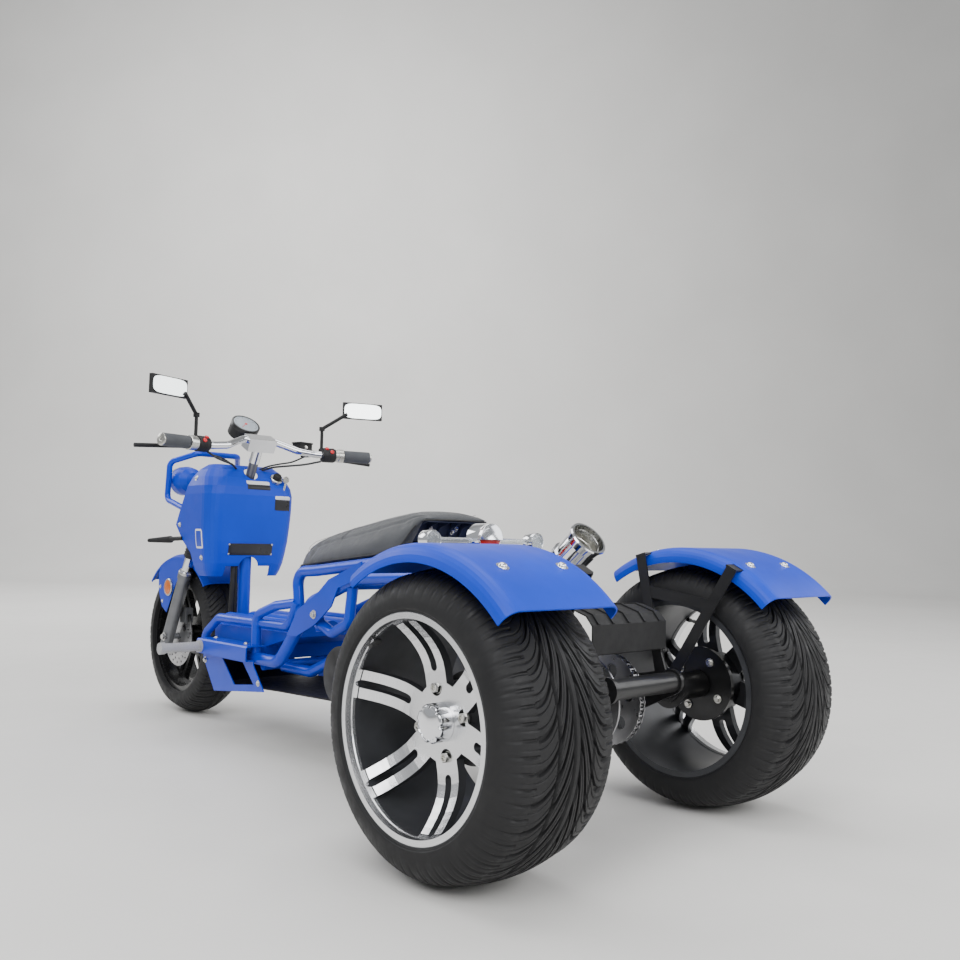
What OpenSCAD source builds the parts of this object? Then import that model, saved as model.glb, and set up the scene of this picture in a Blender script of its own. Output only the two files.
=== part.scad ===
// Motor trike: tube frame, moulded fairing, one steered front wheel and a chain-driven rear axle.
// Lengths are millimetres. X points forward, Y to the left, Z up.
// Places are measured from the point on the floor below the rear axle, and every piece is then
// moved back by mid_x, so that the origin is on the floor at the middle of the vehicle's length.

/* [Stance] */
// Distance between the front and the rear axle
wheelbase = 1700; // [1600:10:1900]
// Distance between the middles of the two rear tyres
rear_track = 721; // [700:1:760]
// Angle of the steering axis from upright, in degrees
rake = 27; // [22:0.5:30]
// How far ahead of the rear axle the steering axis meets the floor
steer_foot_x = 1771; // [1760:1:1800]

/* [Rear wheels] */
// Outside diameter of a rear tyre
rear_tyre_d = 517.6; // [500:0.2:530]
// Width of a rear tyre across its sidewalls
rear_tyre_w = 248; // [244:1:262]
// Diameter on which the rear tyre's beads sit
rear_bead_d = 356; // [350:0.5:366]
// Width of the rear rim between its flanges
rear_rim_w = 224; // [200:1:236]
// Number of twin spokes in a wheel
spokes = 6; // [4:1:7]

/* [Front wheel] */
// Outside diameter of the front tyre
front_tyre_d = 487; // [470:1:500]
// Width of the front tyre across its sidewalls
front_tyre_w = 138; // [110:1:140]
// Diameter on which the front tyre's beads sit
front_bead_d = 335; // [325:0.5:345]
// Width of the front rim between its flanges
front_rim_w = 92; // [80:1:100]

/* [Rear axle] */
// Radius of the axle shaft
axle_r = 15; // [12:0.5:18]
// Distance from the middle to the outer face of a hub flange
hub_face_y = 345; // [335:1:350]
// Radius of a hub flange
hub_flange_r = 80; // [70:1:90]
// Circle of the wheel bolts
wheel_pcd = 114; // [100:1:120]
// Sideways place of the sprocket and the chain
chain_y = -15; // [-30:1:10]
// Number of teeth on the rear sprocket
sprocket_teeth = 42; // [36:1:44]
// Chain pitch
chain_pitch = 12.7; // [12:0.1:13.5]

/* [Frame] */
// Radius of the main frame tubes
rail_r = 16; // [13:0.5:18]
// Sideways place of the two lower rails
rail_y = 155; // [150:1:165]
// Height of the lower rails
rail_z = 243; // [235:1:255]
// Radius of the bent tubes that carry the seat
loop_r = 14; // [11:0.5:15]
// Sideways place of the seat tubes
loop_y = 140; // [135:1:145]
// Sideways place of the front hoops
hoop_y = 148; // [145:1:152]
// Radius of the neck tube
neck_r = 19; // [16:0.5:22]
// How far ahead of the rear axle the neck tube stands
neck_x = 1403; // [1395:1:1410]

/* [Fenders] */
// Radius of a rear fender at its crown
fender_r = 315; // [305:1:325]
// Width of a rear fender
fender_w = 260; // [240:1:275]
// Thickness of the fender sheet
fender_t = 3; // [2:0.5:4]

/* [Steering] */
// Sideways place of the fork legs
leg_y = 93; // [90:0.5:100]
// Radius of the chromed fork tubes
leg_r = 14; // [12:0.5:16]
// Radius of the lower fork legs
slider_r = 19; // [17:0.5:20]
// Half the distance between the ends of the grips
bar_half_w = 338; // [320:1:350]
// Radius of the handlebar tube
bar_r = 11; // [10:0.5:12]

/* [Finish] */
// Blue of the painted frame, fenders and fairing
paint = "#0a50d8";
// Black of the coated brackets and the engine
black_coat = "#1c1d20";

/* [Hidden] */
$fn = 64;

rear_r = rear_tyre_d / 2;
front_r = front_tyre_d / 2;
mid_x = (wheelbase + front_r - rear_r) / 2;
wheel_y = rear_track / 2;
seat_gap = 0.3;

// The steering axis, as a point on the floor and a direction that points up and back
steer_foot = [steer_foot_x, 0, 0];
steer_dir = [-sin(rake), 0, cos(rake)];
function on_steer(z) = steer_foot + steer_dir * (z / steer_dir.z);

// The fork legs run beside the front axle, parallel to the steering axis
leg_foot_x = wheelbase + 8;
function on_leg(z, y) = [leg_foot_x - (z - front_r) * tan(rake), y, z];

module placed() {
    translate([-mid_x, 0, 0]) children();
}

// Both sides of the vehicle
module both_sides() {
    children();
    mirror([0, 1, 0]) children();
}

function unit(v) = v / norm(v);

// A round bar between two points
module rod(a, b, r) {
    d = b - a;
    translate(a)
        rotate([0, acos(d.z / norm(d)), atan2(d.y, d.x)])
            cylinder(r = r, h = norm(d));
}

// Turns a piece that stands on the floor so that it stands on point a and points along d
module aim(a, d) {
    translate(a)
        rotate([0, acos(d.z / norm(d)), atan2(d.y, d.x)])
            children();
}

// One bend of a tube: the tube arrives at corner p along u and leaves it along v
module tube_bend(p, u, v, r, bend) {
    turn = acos(min(1, max(-1, u * v)));
    n = unit(cross(u, v));
    inward = cross(n, u);
    c = p - u * bend * tan(turn / 2) + inward * bend;
    multmatrix([[-inward.x, u.x, n.x, c.x], [-inward.y, u.y, n.y, c.y], [-inward.z, u.z, n.z, c.z]])
        rotate_extrude(angle = turn)
            translate([bend, 0])
                circle(r = r);
}

// The turn at corner i, the radius of its bend, and how far the bend reaches back from the corner
function turn_at(pts, i) =
    acos(min(1, max(-1, unit(pts[i] - pts[i - 1]) * unit(pts[i + 1] - pts[i]))));
function bend_at(pts, i, bend) = max(bend, 7 / tan(turn_at(pts, i) / 2));
function bend_reach(pts, i, bend) =
    i <= 0 || i >= len(pts) - 1 ? 0 : bend_at(pts, i, bend) * tan(turn_at(pts, i) / 2) - bend_lap;

// A tube of straight lengths joined by round bends; a bend swells by a hair over the straight
// lengths, which run a little way into it, as a bent tube does where its wall is squeezed
bend_lap = 1.5;
bend_swell = 0.2;

module bent_tube(pts, r, bend) {
    for (i = [0 : len(pts) - 2]) {
        u = unit(pts[i + 1] - pts[i]);
        a = pts[i] + u * bend_reach(pts, i, bend);
        b = pts[i + 1] - u * bend_reach(pts, i + 1, bend);
        rod(a, b, r);
    }
    for (i = [1 : 1 : len(pts) - 2])
        tube_bend(pts[i], unit(pts[i] - pts[i - 1]), unit(pts[i + 1] - pts[i]), r + bend_swell,
            bend_at(pts, i, bend));
}

// A path on the left side, carried on over the middle to the same path on the right side
function across(pts) = concat([for (i = [len(pts) - 1 : -1 : 0]) [pts[i].x, -pts[i].y, pts[i].z]], pts);

// A ring or disc turned about the sideways axis, from y0 to y1
module y_cylinder(r, y0, y1, x = 0, z = 0) {
    translate([x, y0, z])
        rotate([-90, 0, 0])
            cylinder(r = r, h = y1 - y0);
}

// A revolved profile about the sideways axis: the profile's x is the radius and its y is sideways
module y_revolve(x, y, z) {
    translate([x, y, z])
        rotate([-90, 0, 0])
            rotate_extrude($fn = 96)
                children();
}

// A plate of given outline in x and z, from y0 to y1
module side_plate_shape(y0, y1) {
    translate([0, y1, 0])
        rotate([90, 0, 0])
            linear_extrude(height = y1 - y0)
                children();
}

// Half of the outline of a tyre's section: tread, shoulder, sidewall and the bead inside the flange
function tyre_half(r_out, r_bead, flange_h, half_w, crown, tread, rim_half) =
    let (shoulder_r = r_bead + (r_out - crown - r_bead) * 0.2, flange_r = r_bead + flange_h + 0.6)
    concat(
        [for (i = [0 : 3]) [r_out - crown * pow(i / 3, 2), tread * i / 3]],
        [for (a = [72 : -18 : 0])
            [shoulder_r + (r_out - crown - shoulder_r) * sin(a), tread + (half_w - tread) * cos(a)]],
        [for (a = [40, 80])
            [shoulder_r - (shoulder_r - flange_r) * sin(a), rim_half + 6 + (half_w - rim_half - 6) * cos(a)]],
        [[flange_r, rim_half + 6], [flange_r, rim_half - seat_gap], [r_bead, rim_half - seat_gap]]);

function mirrored(pts) = [for (i = [len(pts) - 1 : -1 : 1]) [pts[i].x, -pts[i].y]];

module tyre_section(r_out, r_bead, flange_h, w, crown, tread, rim_w) {
    half = tyre_half(r_out, r_bead, flange_h, w / 2, crown, tread, rim_w / 2);
    polygon(concat(mirrored(half), half));
}

// Frame

head_top_z = 722;
head_bottom_z = 636;
head_r = 25;
stem_r = 14;
stem_clear_r = stem_r + 0.3;
front_cross_z = rail_z;

module neck_tube() {
    color(paint) placed() difference() {
        union() {
            rod(on_steer(head_bottom_z), on_steer(head_top_z), head_r);
            translate([neck_x, 0, rail_z])
                cylinder(r = neck_r, h = 470);
            both_sides() rod([neck_x - 4, 14, 658], [1361.6, 22, 658], 7);
        }
        rod(on_steer(head_bottom_z - 60), on_steer(head_top_z + 60), stem_clear_r);
        y_cylinder(rail_r + seat_gap, -80, 80, neck_x, front_cross_z);
    }
}

rail_end_x = 326;
rail_path = [[neck_x, rail_y, rail_z], [932, rail_y, rail_z], [785, rail_y, 405],
    [600, rail_y, 470], [rail_end_x, rail_y, 484]];

// A short bent tube that braces each rail below its gusset plate
elbow_path = [[772, rail_y - 3, 400], [756, rail_y - 3, 357], [700, rail_y - 3, 336], [634, rail_y - 3, 363],
    [622, rail_y - 3, 448]];

sleeve_r = 7;

// Two sleeved cables that run down beside the neck tube onto the front cross tube
module cable_sleeves() {
    color(black_coat) placed() {
        bent_tube([[1400, 46, rail_z + rail_r + 0.3], [1395, 44, 420], [1399, 40, 640]], sleeve_r, 60);
        bent_tube([[1404, 31, rail_z + rail_r + 0.3], [1402, 30, 420], [1404, 30, 620]], sleeve_r - 1.5, 60);
    }
}

module lower_frame() {
    color(paint) placed() {
        bent_tube(across(rail_path), rail_r, 60);
        y_cylinder(13, -rail_y, rail_y, rail_end_x + 18, 483);
        y_cylinder(13, -rail_y, rail_y, 640, 454);
        y_cylinder(12, -rail_y, rail_y, arm_front_x + 12.3, 227);
        both_sides() bent_tube(elbow_path, 13, 26);
    }
}

// Two hoops rise from each rail to the seat, and a loop on top of them carries the seat
front_hoop = [[1349, hoop_y, rail_z + 8], [1345, hoop_y, 286], [1268, hoop_y, 335], [900, hoop_y, 336],
    [866, hoop_y, 400]];
rear_hoop = [[1050, rail_y, rail_z], [1052, rail_y, 356], [960, rail_y - 4, 386], [868, hoop_y, 398]];
seat_loop = [[864, loop_y, 360], [882, loop_y, 476], [790, loop_y, 482], [555, loop_y, 506],
    [420, loop_y, 512]];

module frame_loops() {
    color(paint) placed() {
        y_cylinder(9, -loop_y, loop_y, 700, 490.8);
        y_cylinder(9, -loop_y, loop_y, 560, 505);
    }
    color(paint) placed() both_sides() difference() {
        union() {
            bent_tube(front_hoop, 12, 40);
            bent_tube(rear_hoop, 12.5, 36);
            bent_tube(seat_loop, loop_r, 34);
        }
        bent_tube(concat([[neck_x, 0, rail_z]], rail_path), rail_r + seat_gap, 60);
    }
}

gusset_y = rail_y + rail_r + seat_gap;
gusset_t = 4;
gusset_outline = [[868, 318], [822, 384], [735, 430], [690, 464], [560, 510], [556, 474], [650, 446],
    [677, 401], [722, 369], [750, 351], [823, 320]];

module gusset_plates() {
    color(paint) placed() both_sides() difference() {
        side_plate_shape(gusset_y, gusset_y + gusset_t) polygon(gusset_outline);
        y_cylinder(5, gusset_y - 1, gusset_y + gusset_t + 1, 748, 378);
    }
}

arm_y = 97;
arm_r = 14;
arm_front_x = 1000;
arm_end = [62, arm_y, 262];

module rear_arms() {
    color(paint) placed() both_sides() {
        bent_tube([[arm_front_x, arm_y, 222], [870, arm_y, 222], [767, arm_y, 264], [400, arm_y, 290],
            arm_end], arm_r, 60);
    }
}

// Rear axle carrier: bearing housings, axle tubes, two end plates and a cross tube behind the sprocket
housing_r = 29;
housing_y0 = 214;
housing_y1 = 330;
carrier_plate_t = 8;
carrier_right_y = -83;
carrier_left_y = 111.3;
cross_x = -112;
cross_z = 297;
cross_r = 19.5;
axle_z = rear_r;

module carrier_outline() {
    hull() {
        translate([0, axle_z]) circle(r = 38);
        translate([cross_x, cross_z]) circle(r = 24);
    }
    hull() {
        translate([0, axle_z]) circle(r = 38);
        translate([arm_end.x, arm_end.z]) circle(r = 20);
    }
}

module axle_carrier() {
    color(black_coat) placed() difference() {
        union() {
            side_plate_shape(carrier_right_y, carrier_right_y + carrier_plate_t) carrier_outline();
            side_plate_shape(carrier_left_y, carrier_left_y + carrier_plate_t) carrier_outline();
            for (y = [carrier_right_y, carrier_left_y])
                side_plate_shape(y, y + 5)
                    polygon([[-100, 305], [-72, 305], [-60, 372], [-84.7, 378], [-84.7, 350]]);
            y_cylinder(cross_r, carrier_right_y + 4, carrier_left_y + 4, cross_x, cross_z);
            y_cylinder(22, carrier_left_y + 4, housing_y0 + 2, 0, axle_z);
            y_cylinder(22, -housing_y0 - 2, carrier_right_y + 4, 0, axle_z);
            both_sides() y_cylinder(housing_r, housing_y0, housing_y1, 0, axle_z);
        }
        y_cylinder(axle_r + 0.3, -housing_y1 - 1, housing_y1 + 1, 0, axle_z);
    }
}

// Body pieces around the feet

box_half_w = 124;
box_outline = [[1338, 234], [1062, 234], [1050, 272], [930, 304], [930, 316], [1338, 312]];

module battery_box() {
    color(paint) placed() {
        side_plate_shape(-box_half_w, box_half_w) polygon(box_outline);
        translate([1330, -60, 236]) cube([neck_x - neck_r - 0.3 - 1330, 120, 14]);
        for (y = [-78, 0, 78])
            intersection() {
                translate([930, y, 313]) rotate([0, 90, 0]) cylinder(r = 30, h = 408);
                translate([930, -box_half_w, 311]) cube([408, 2 * box_half_w, 60]);
            }
    }
}

tray_y0 = 140;
tray_y1 = 196;
tray_x0 = 1030;
tray_len = 275;
tray_z = 277;

peg_x = 1282;
peg_z = 256;

module foot_pegs() {
    color("silver") placed() both_sides() {
        y_cylinder(13, tray_y1 + 0.3, 312, peg_x, peg_z);
        y_cylinder(16, 302, 316, peg_x, peg_z);
        y_cylinder(17, tray_y1 + 0.3, tray_y1 + 8, peg_x, peg_z);
    }
}

module side_plates() {
    color(paint) placed() both_sides() {
        difference() {
            side_plate_shape(gusset_y, gusset_y + 3)
                polygon([[1305, 222], [1236, 137], [971, 165], [1029, 228], [1029, 240], [1305, 240]]);
            side_plate_shape(gusset_y - 1, gusset_y + 4)
                polygon([[1082, 230], [1023, 178], [1125, 166], [1195, 230]]);
            y_cylinder(4, gusset_y - 1, gusset_y + 4, 1292, 216);
        }
        difference() {
            translate([tray_x0, 0, 0])
                rotate([90, 0, 90])
                    linear_extrude(height = tray_len)
                        polygon([[tray_y0, tray_z], [tray_y0, tray_z - 3], [tray_y1 - 3, tray_z - 3],
                            [tray_y1 - 3, 240], [gusset_y, 240], [gusset_y, 237], [tray_y1, 237],
                            [tray_y1, tray_z - 4], [tray_y1 - 4, tray_z]]);
            translate([1051, rail_y, 260]) cylinder(r = 14, h = 30);
        }
    }
}

module belly_pan() {
    color(black_coat) placed()
        rotate([90, 0, 0])
            translate([0, 0, -140])
                linear_extrude(height = 280)
                    polygon([[1372, 228.7], [1290, 150], [960, 165], [600, 176], [600, 179.7], [960, 168],
                        [1288, 153], [1360, 228.7]]);
}

// Engine

module engine_block() {
    color(black_coat) placed()
        difference() {
            translate([330, -125, 180]) cube([300, 200, 150]);
            translate([329, -arm_y - arm_r - 0.4, 235]) cube([302, 2 * arm_r + 0.8, 96]);
        }
}

module engine_barrel() {
    color("dimgray") placed() {
        for (i = [0 : 7])
            translate([634 + i * 12, -80, 215]) cube([5, 120, 110]);
        translate([630.3, -60, 230]) cube([110, 80, 80]);
    }
}

module belt_cover() {
    color("#8d9196") placed() {
        side_plate_shape(118, 213) hull() {
            translate([575, 252]) circle(r = 68);
            translate([290, 262]) circle(r = 62);
        }
        translate([430, 75.3, 192]) cube([120, 43, 60]);
    }
}

exhaust_y = -148;
tip_mouth = [160, exhaust_y, 572];
tip_dir = unit([0.75, 0, -0.66]);

tip_len = 150;
// Section of the bell: radius and distance from the mouth, down the outside and back up the bore
tip_section = [[39, 0], [44, 0], [46, 3], [45, 8], [42, 22], [41, 60], [41, 68], [46, 68], [46, 80], [41, 80],
    [41, tip_len], [0, tip_len], [0, 118], [37, 118], [37, 20]];

module exhaust_tip() {
    color("silver") placed()
        aim(tip_mouth, tip_dir)
            rotate_extrude()
                polygon(tip_section);
}

module exhaust_pipe() {
    color(black_coat) placed()
        bent_tube([tip_mouth + tip_dir * (tip_len + 0.3), [420, exhaust_y, 345], [520, exhaust_y, 255],
            [580, exhaust_y, 255], [580, -125.3, 255]], 17, 18.5);
}

// Seat and tail

// Seat sections from front to rear: x, half width, underside and top
seat_sections = [
    [984, 34, 487, 497], [970, 64, 486, 516], [950, 88, 487, 533], [920, 104, 490, 551],
    [880, 115, 493, 565], [840, 120, 497, 573], [780, 124, 503, 585], [700, 127, 511, 599],
    [620, 128, 519, 613], [560, 127, 525, 623], [510, 123, 531, 631], [484, 118, 552, 633],
    [462, 112, 580, 632], [442, 104, 601, 628], [426, 97, 608, 617]];
seat_steps = 12;

function seat_ring(s) = [for (i = [0 : seat_steps]) let (a = 180 * i / seat_steps)
    [s[0], s[1] * sign(cos(a)) * pow(abs(cos(a)), 0.62), s[2] + (s[3] - s[2]) * pow(sin(a), 0.62)]];

module seat() {
    n = seat_steps + 1;
    rows = len(seat_sections);
    last = (rows - 1) * n;
    color("#303236") placed() difference() {
        polyhedron(
            points = [for (s = seat_sections) each seat_ring(s)],
            faces = concat(
                [for (k = [0 : rows - 2], i = [0 : n - 1])
                    [k * n + i, k * n + (i + 1) % n, (k + 1) * n + (i + 1) % n, (k + 1) * n + i]],
                [[for (i = [n - 1 : -1 : 0]) i]],
                [[for (i = [0 : n - 1]) last + i]]),
            convexity = 6);
        side_plate_shape(-88, 88)
            polygon([[400, 480], [400, 604], [446, 609], [470, 610], [500, 560], [500, 480]]);
    }
}

module seat_base() {
    color(black_coat) placed()
        side_plate_shape(-98, 98)
            polygon([[940, 487], [930, 478], [800, 490], [620, 508], [505, 520], [505, 530.7], [620, 518.5], [780, 502.5], [880, 492.5]]);
}

tail_x = 320;

module tail_lamp() {
    color("crimson") placed() {
        translate([tail_x, 0, 566]) rotate([0, 90, 0]) cylinder(r = 34, h = 40);
        translate([tail_x + 20, -30, 496.3]) cube([5, 60, 50]);
    }
}

module rear_signals() {
    color("white") placed() both_sides() {
        rod([tail_x + 26, 34.5, 562], [tail_x + 20, 150, 562], 6);
        translate([tail_x + 20, 158, 562]) rotate([0, 90, 0]) cylinder(r = 20, h = 30, center = true);
    }
}

// Rear fenders

fender_x = -10;
fender_z = 240;
fender_roll = 26;
fender_lip = 32;
fender_front_a = 56;
fender_rear_a = 136;

function fender_curve(r, half, roll) = concat(
    [[r - fender_lip, -half]],
    [for (a = [180 : -15 : 90]) [r - roll + roll * sin(a), -(half - roll) + roll * cos(a)]],
    [for (a = [90 : -15 : 0]) [r - roll + roll * sin(a), (half - roll) + roll * cos(a)]],
    [[r - fender_lip, half]]);

module fender_shell() {
    outer = fender_curve(fender_r, fender_w / 2, fender_roll);
    inner = fender_curve(fender_r - fender_t, fender_w / 2 - fender_t, fender_roll - fender_t);
    translate([fender_x, wheel_y, fender_z])
        rotate([-90, -fender_front_a, 0])
            rotate_extrude(angle = -(fender_rear_a - fender_front_a), $fn = 96)
                polygon(concat(outer, [for (i = [len(inner) - 1 : -1 : 0])
                    [max(inner[i].x, fender_r - fender_lip), inner[i].y]]));
}

module rear_fenders() {
    color(paint) placed() both_sides() difference() {
        fender_shell();
        intersection() {
            for (a = strut_angles)
                strut(a, 0.8);
            translate([-500, 0, 0]) cube([1000, 256, 1000]);
        }
    }
}

// Flat bars that carry a rear fender, each from the bearing housing to a place under the fender
bar_y = 218;
bar_t = 4;
bar_w = 24;
front_bar = [[14, 292], [48, 411], [72.8, 534]];
rear_bar = [[-14, 292], [-151.4, 510.6]];
tie_bar = [[56, 460], [-112, 436]];

// A flat bar from a to b, thinner by the given amount on each face, so that welded bars don't share a face
module flat_bar(a, b, thinner) {
    d = b - a;
    translate([a.x, bar_y + thinner, a.y])
        rotate([0, -atan2(d.y, d.x), 0])
            translate([-4, 0, -bar_w / 2])
                cube([norm(d) + 8, bar_t - 2 * thinner, bar_w]);
}

// A strut runs out from the top of each bar, flat under the crown of the fender
strut_angles = [74.3, 117.3];
strut_y1 = 430;

module strut(angle, grow) {
    translate([fender_x, bar_y + 1, fender_z])
        rotate([0, -angle, 0])
            translate([fender_r - fender_t - 0.7 - bar_t - grow, 0, -bar_w / 2 - 1 - grow])
                cube([bar_t + 2 * grow, strut_y1 - bar_y - 1, bar_w + 2 + 2 * grow]);
}

module fender_bars() {
    color(black_coat) placed() both_sides() difference() {
        union() {
            for (a = strut_angles)
                strut(a, 0);
            y_cylinder(42, bar_y + 0.8, bar_y + bar_t - 0.8, 0, axle_z);
            flat_bar(front_bar[0], front_bar[1], 0);
            flat_bar(front_bar[1], front_bar[2], 0.2);
            flat_bar(rear_bar[0], rear_bar[1], 0.4);
            flat_bar(tie_bar[0], tie_bar[1], 0.6);
            y_cylinder(37, bar_y + 1.2, bar_y + 22, 0, axle_z);
        }
        y_cylinder(housing_r + seat_gap, bar_y - 1, bar_y + 24, 0, axle_z);
    }
}

// Drive chain and its guard

sprocket_r = chain_pitch / (2 * sin(180 / sprocket_teeth));
drive_x = 258.3;
drive_z = 250;
drive_r = 30;
roller_r = 4.2;
chain_half_w = 8;
plate_t = 2.2;

// The loop that the rollers follow: two arcs and the two straight runs between them
run_d = norm([drive_x, drive_z - axle_z]);
run_a = atan2(drive_z - axle_z, drive_x);
wrap = acos((sprocket_r - drive_r) / run_d);
run_len = sqrt(pow(run_d, 2) - pow(sprocket_r - drive_r, 2));
big_arc = sprocket_r * (360 - 2 * wrap) * PI / 180;
small_arc = drive_r * 2 * wrap * PI / 180;
chain_links = 2 * round((2 * run_len + big_arc + small_arc) / chain_pitch / 2);
link_len = (2 * run_len + big_arc + small_arc) / chain_links;

function polar(c, r, a) = [c.x + r * cos(a), c.y + r * sin(a)];

// The point that stands h outside the loop, at distance s along it from the top of the sprocket
function loop_at(s, h) =
    s < big_arc ? polar([0, axle_z], sprocket_r + h, run_a + wrap + s / sprocket_r * 180 / PI) :
    s < big_arc + run_len ?
        polar([0, axle_z], sprocket_r + h, run_a - wrap)
            + (s - big_arc) * [cos(run_a - wrap + 90), sin(run_a - wrap + 90)] :
    s < big_arc + run_len + small_arc ?
        polar([drive_x, drive_z], drive_r + h,
            run_a - wrap + (s - big_arc - run_len) / drive_r * 180 / PI) :
        polar([drive_x, drive_z], drive_r + h, run_a + wrap)
            + (s - big_arc - run_len - small_arc) * [cos(run_a + wrap + 90), sin(run_a + wrap + 90)];

// One side of the links: wide at every roller and narrow between two rollers
module link_side() {
    difference() {
        polygon([for (i = [0 : 2 * chain_links - 1]) loop_at(i * link_len / 2, i % 2 == 0 ? 6 : 4.4)]);
        polygon([for (i = [0 : 2 * chain_links - 1]) loop_at(i * link_len / 2, i % 2 == 0 ? -6 : -4.4)]);
    }
}

tooth_half_w = 3;
tooth_tip = 3;

// The rollers are grooved where the teeth pass, so that the sprocket turns clear of them
module chain() {
    color("silver") placed() difference() {
        union() {
            side_plate_shape(chain_y - chain_half_w, chain_y - chain_half_w + plate_t) link_side();
            side_plate_shape(chain_y + chain_half_w - plate_t, chain_y + chain_half_w) link_side();
            for (i = [0 : chain_links - 1])
                let (p = loop_at(i * link_len, 0))
                    translate([p.x, chain_y - chain_half_w + 1, p.y])
                        rotate([-90, 0, 0])
                            cylinder(r = roller_r, h = 2 * chain_half_w - 2, $fn = 8);
        }
        y_cylinder(sprocket_r + tooth_tip + 0.6, chain_y - tooth_half_w - 0.5, chain_y + tooth_half_w + 0.5,
            0, axle_z);
    }
}

guard_y0 = -90;
guard_y1 = 130;

guard_t = 3;
guard_rib = 3;
guard_ribs = [-70, -24, 24, 70, 112];
// Line of the guard from its rear flange over the chain
guard_line = [[-88, 358], [-88, 411], [-73.5, 428], [-30.5, 441.2], [41, 437.2], [90, 423]];

function guard_band(h) = concat(guard_line + [for (p = guard_line) [-h * 0.5, h * 0.87]],
    [for (i = [len(guard_line) - 1 : -1 : 0]) guard_line[i] + [guard_t * 0.8, -guard_t * 0.6]]);

module chain_guard() {
    color(black_coat) placed() {
        side_plate_shape(guard_y0, guard_y1) polygon(guard_band(0));
        for (y = guard_ribs)
            side_plate_shape(y - 3, y + 3)
                polygon([for (p = guard_band(guard_rib)) if (p.y > 405) p]);
    }
}

shock_y = 114;

// Each shock stands on a bracket on its rear arm and hangs from a pin in its rail
module shocks() {
    color(paint) placed() both_sides() {
        rod([306, shock_y, 352], [352, shock_y, 420], 14);
        rod([352, shock_y, 420], [388, shock_y, 473], 6);
        y_cylinder(9, shock_y - 10, rail_y - rail_r - 0.3, 392, 480.5);
        difference() {
            translate([290, arm_y - 12, 284]) cube([26, 32.5, 74]);
            rod(arm_end, [400, arm_y, 290], arm_r + 0.3);
        }
    }
}

// Front fairing: a moulded shell, open to the front, given by level sections
// Each row is height, half width, rear face, front edge, corner radius
fairing_levels = [
    [445, 118, 1398, 1462, 26],
    [462, 126, 1388, 1474, 32],
    [484, 132, 1378, 1478, 38],
    [515, 137, 1371, 1488, 41],
    [550, 142, 1366, 1532, 42],
    [598, 146, 1362, 1573, 43],
    [640, 148, 1358, 1545, 44],
    [690, 149, 1355, 1512, 46],
    [715, 147, 1358, 1500, 52],
    [742, 138, 1372, 1484, 56],
    [766, 122, 1392, 1472, 44],
    [782, 100, 1416, 1462, 24]];
fairing_t = 3;
corner_steps = 6;

// One open section, from the left front edge round the back to the right front edge
function fairing_half(w, xr, xf, c) = concat(
    [[xf, w]],
    [for (i = [0 : corner_steps]) let (a = 90 + 90 * i / corner_steps)
        [xr + c + c * cos(a), w - c + c * sin(a)]]);
function fairing_line(w, xr, xf, c) =
    let (h = fairing_half(w, xr, xf, c))
    concat(h, [for (i = [len(h) - 1 : -1 : 0]) [h[i].x, -h[i].y]]);

module fairing_shell() {
    n = 2 * (corner_steps + 2);
    rows = len(fairing_levels);
    pts = [for (l = fairing_levels) each concat(
        [for (p = fairing_line(l[1], l[2], l[3], l[4])) [p.x, p.y, l[0]]],
        [for (p = fairing_line(l[1] - fairing_t, l[2] + fairing_t, l[3], l[4] - fairing_t))
            [p.x, p.y, l[0]]])];
    function at(k, i) = k * 2 * n + i;
    faces = concat(
        [for (k = [0 : rows - 2], i = [0 : n - 2])
            [at(k, i), at(k, i + 1), at(k + 1, i + 1), at(k + 1, i)]],
        [for (k = [0 : rows - 2], i = [0 : n - 2])
            [at(k, n + i), at(k + 1, n + i), at(k + 1, n + i + 1), at(k, n + i + 1)]],
        [for (k = [0 : rows - 2]) [at(k, 0), at(k + 1, 0), at(k + 1, n), at(k, n)]],
        [for (k = [0 : rows - 2])
            [at(k, n - 1), at(k, 2 * n - 1), at(k + 1, 2 * n - 1), at(k + 1, n - 1)]],
        [for (i = [0 : n - 2]) [at(0, i), at(0, n + i), at(0, n + i + 1), at(0, i + 1)]],
        [for (i = [0 : n - 2])
            [at(rows - 1, i), at(rows - 1, i + 1), at(rows - 1, n + i + 1), at(rows - 1, n + i)]]);
    polyhedron(points = pts, faces = [for (f = faces) [f[3], f[2], f[1], f[0]]], convexity = 6);
}

module fairing() {
    color(paint) placed() difference() {
        fairing_shell();
        rod(on_steer(690), on_steer(830), 22);
        translate([1340, -76, 430]) cube([110, 152, 46]);
        translate([1340, 0, 470]) rotate([0, 90, 0]) cylinder(r = 34, h = 110);
    }
}

lamp_x = 1690;
lamp_y = 62;
lamp_z = 742;
lamp_r = 46;

module headlamps() {
    color(paint) placed() both_sides() {
        translate([lamp_x - 50, lamp_y, lamp_z])
            rotate([0, 90, 0])
                rotate_extrude()
                    polygon([[0, -10], [24, -4], [40, 12], [lamp_r, 40], [lamp_r, 84], [lamp_r - 6, 90],
                        [0, 96]]);
        y_cylinder(6, lamp_y + lamp_r - 4, guard_y - guard_r - 0.2, lamp_x + 5, lamp_z);
    }
}

guard_y = 119;
guard_r = 9;

module lamp_bracket() {
    color(paint) placed() {
        bent_tube(across([[1600, 70, 826], [1690, guard_y, 800], [1700, guard_y, 680],
            [1545, guard_y, 640]]), guard_r, 24);
        both_sides() rod([1550, guard_y, 641], [1535, 141.4, 637], 6);
    }
}

// Steering

crown_z = 578;

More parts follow.
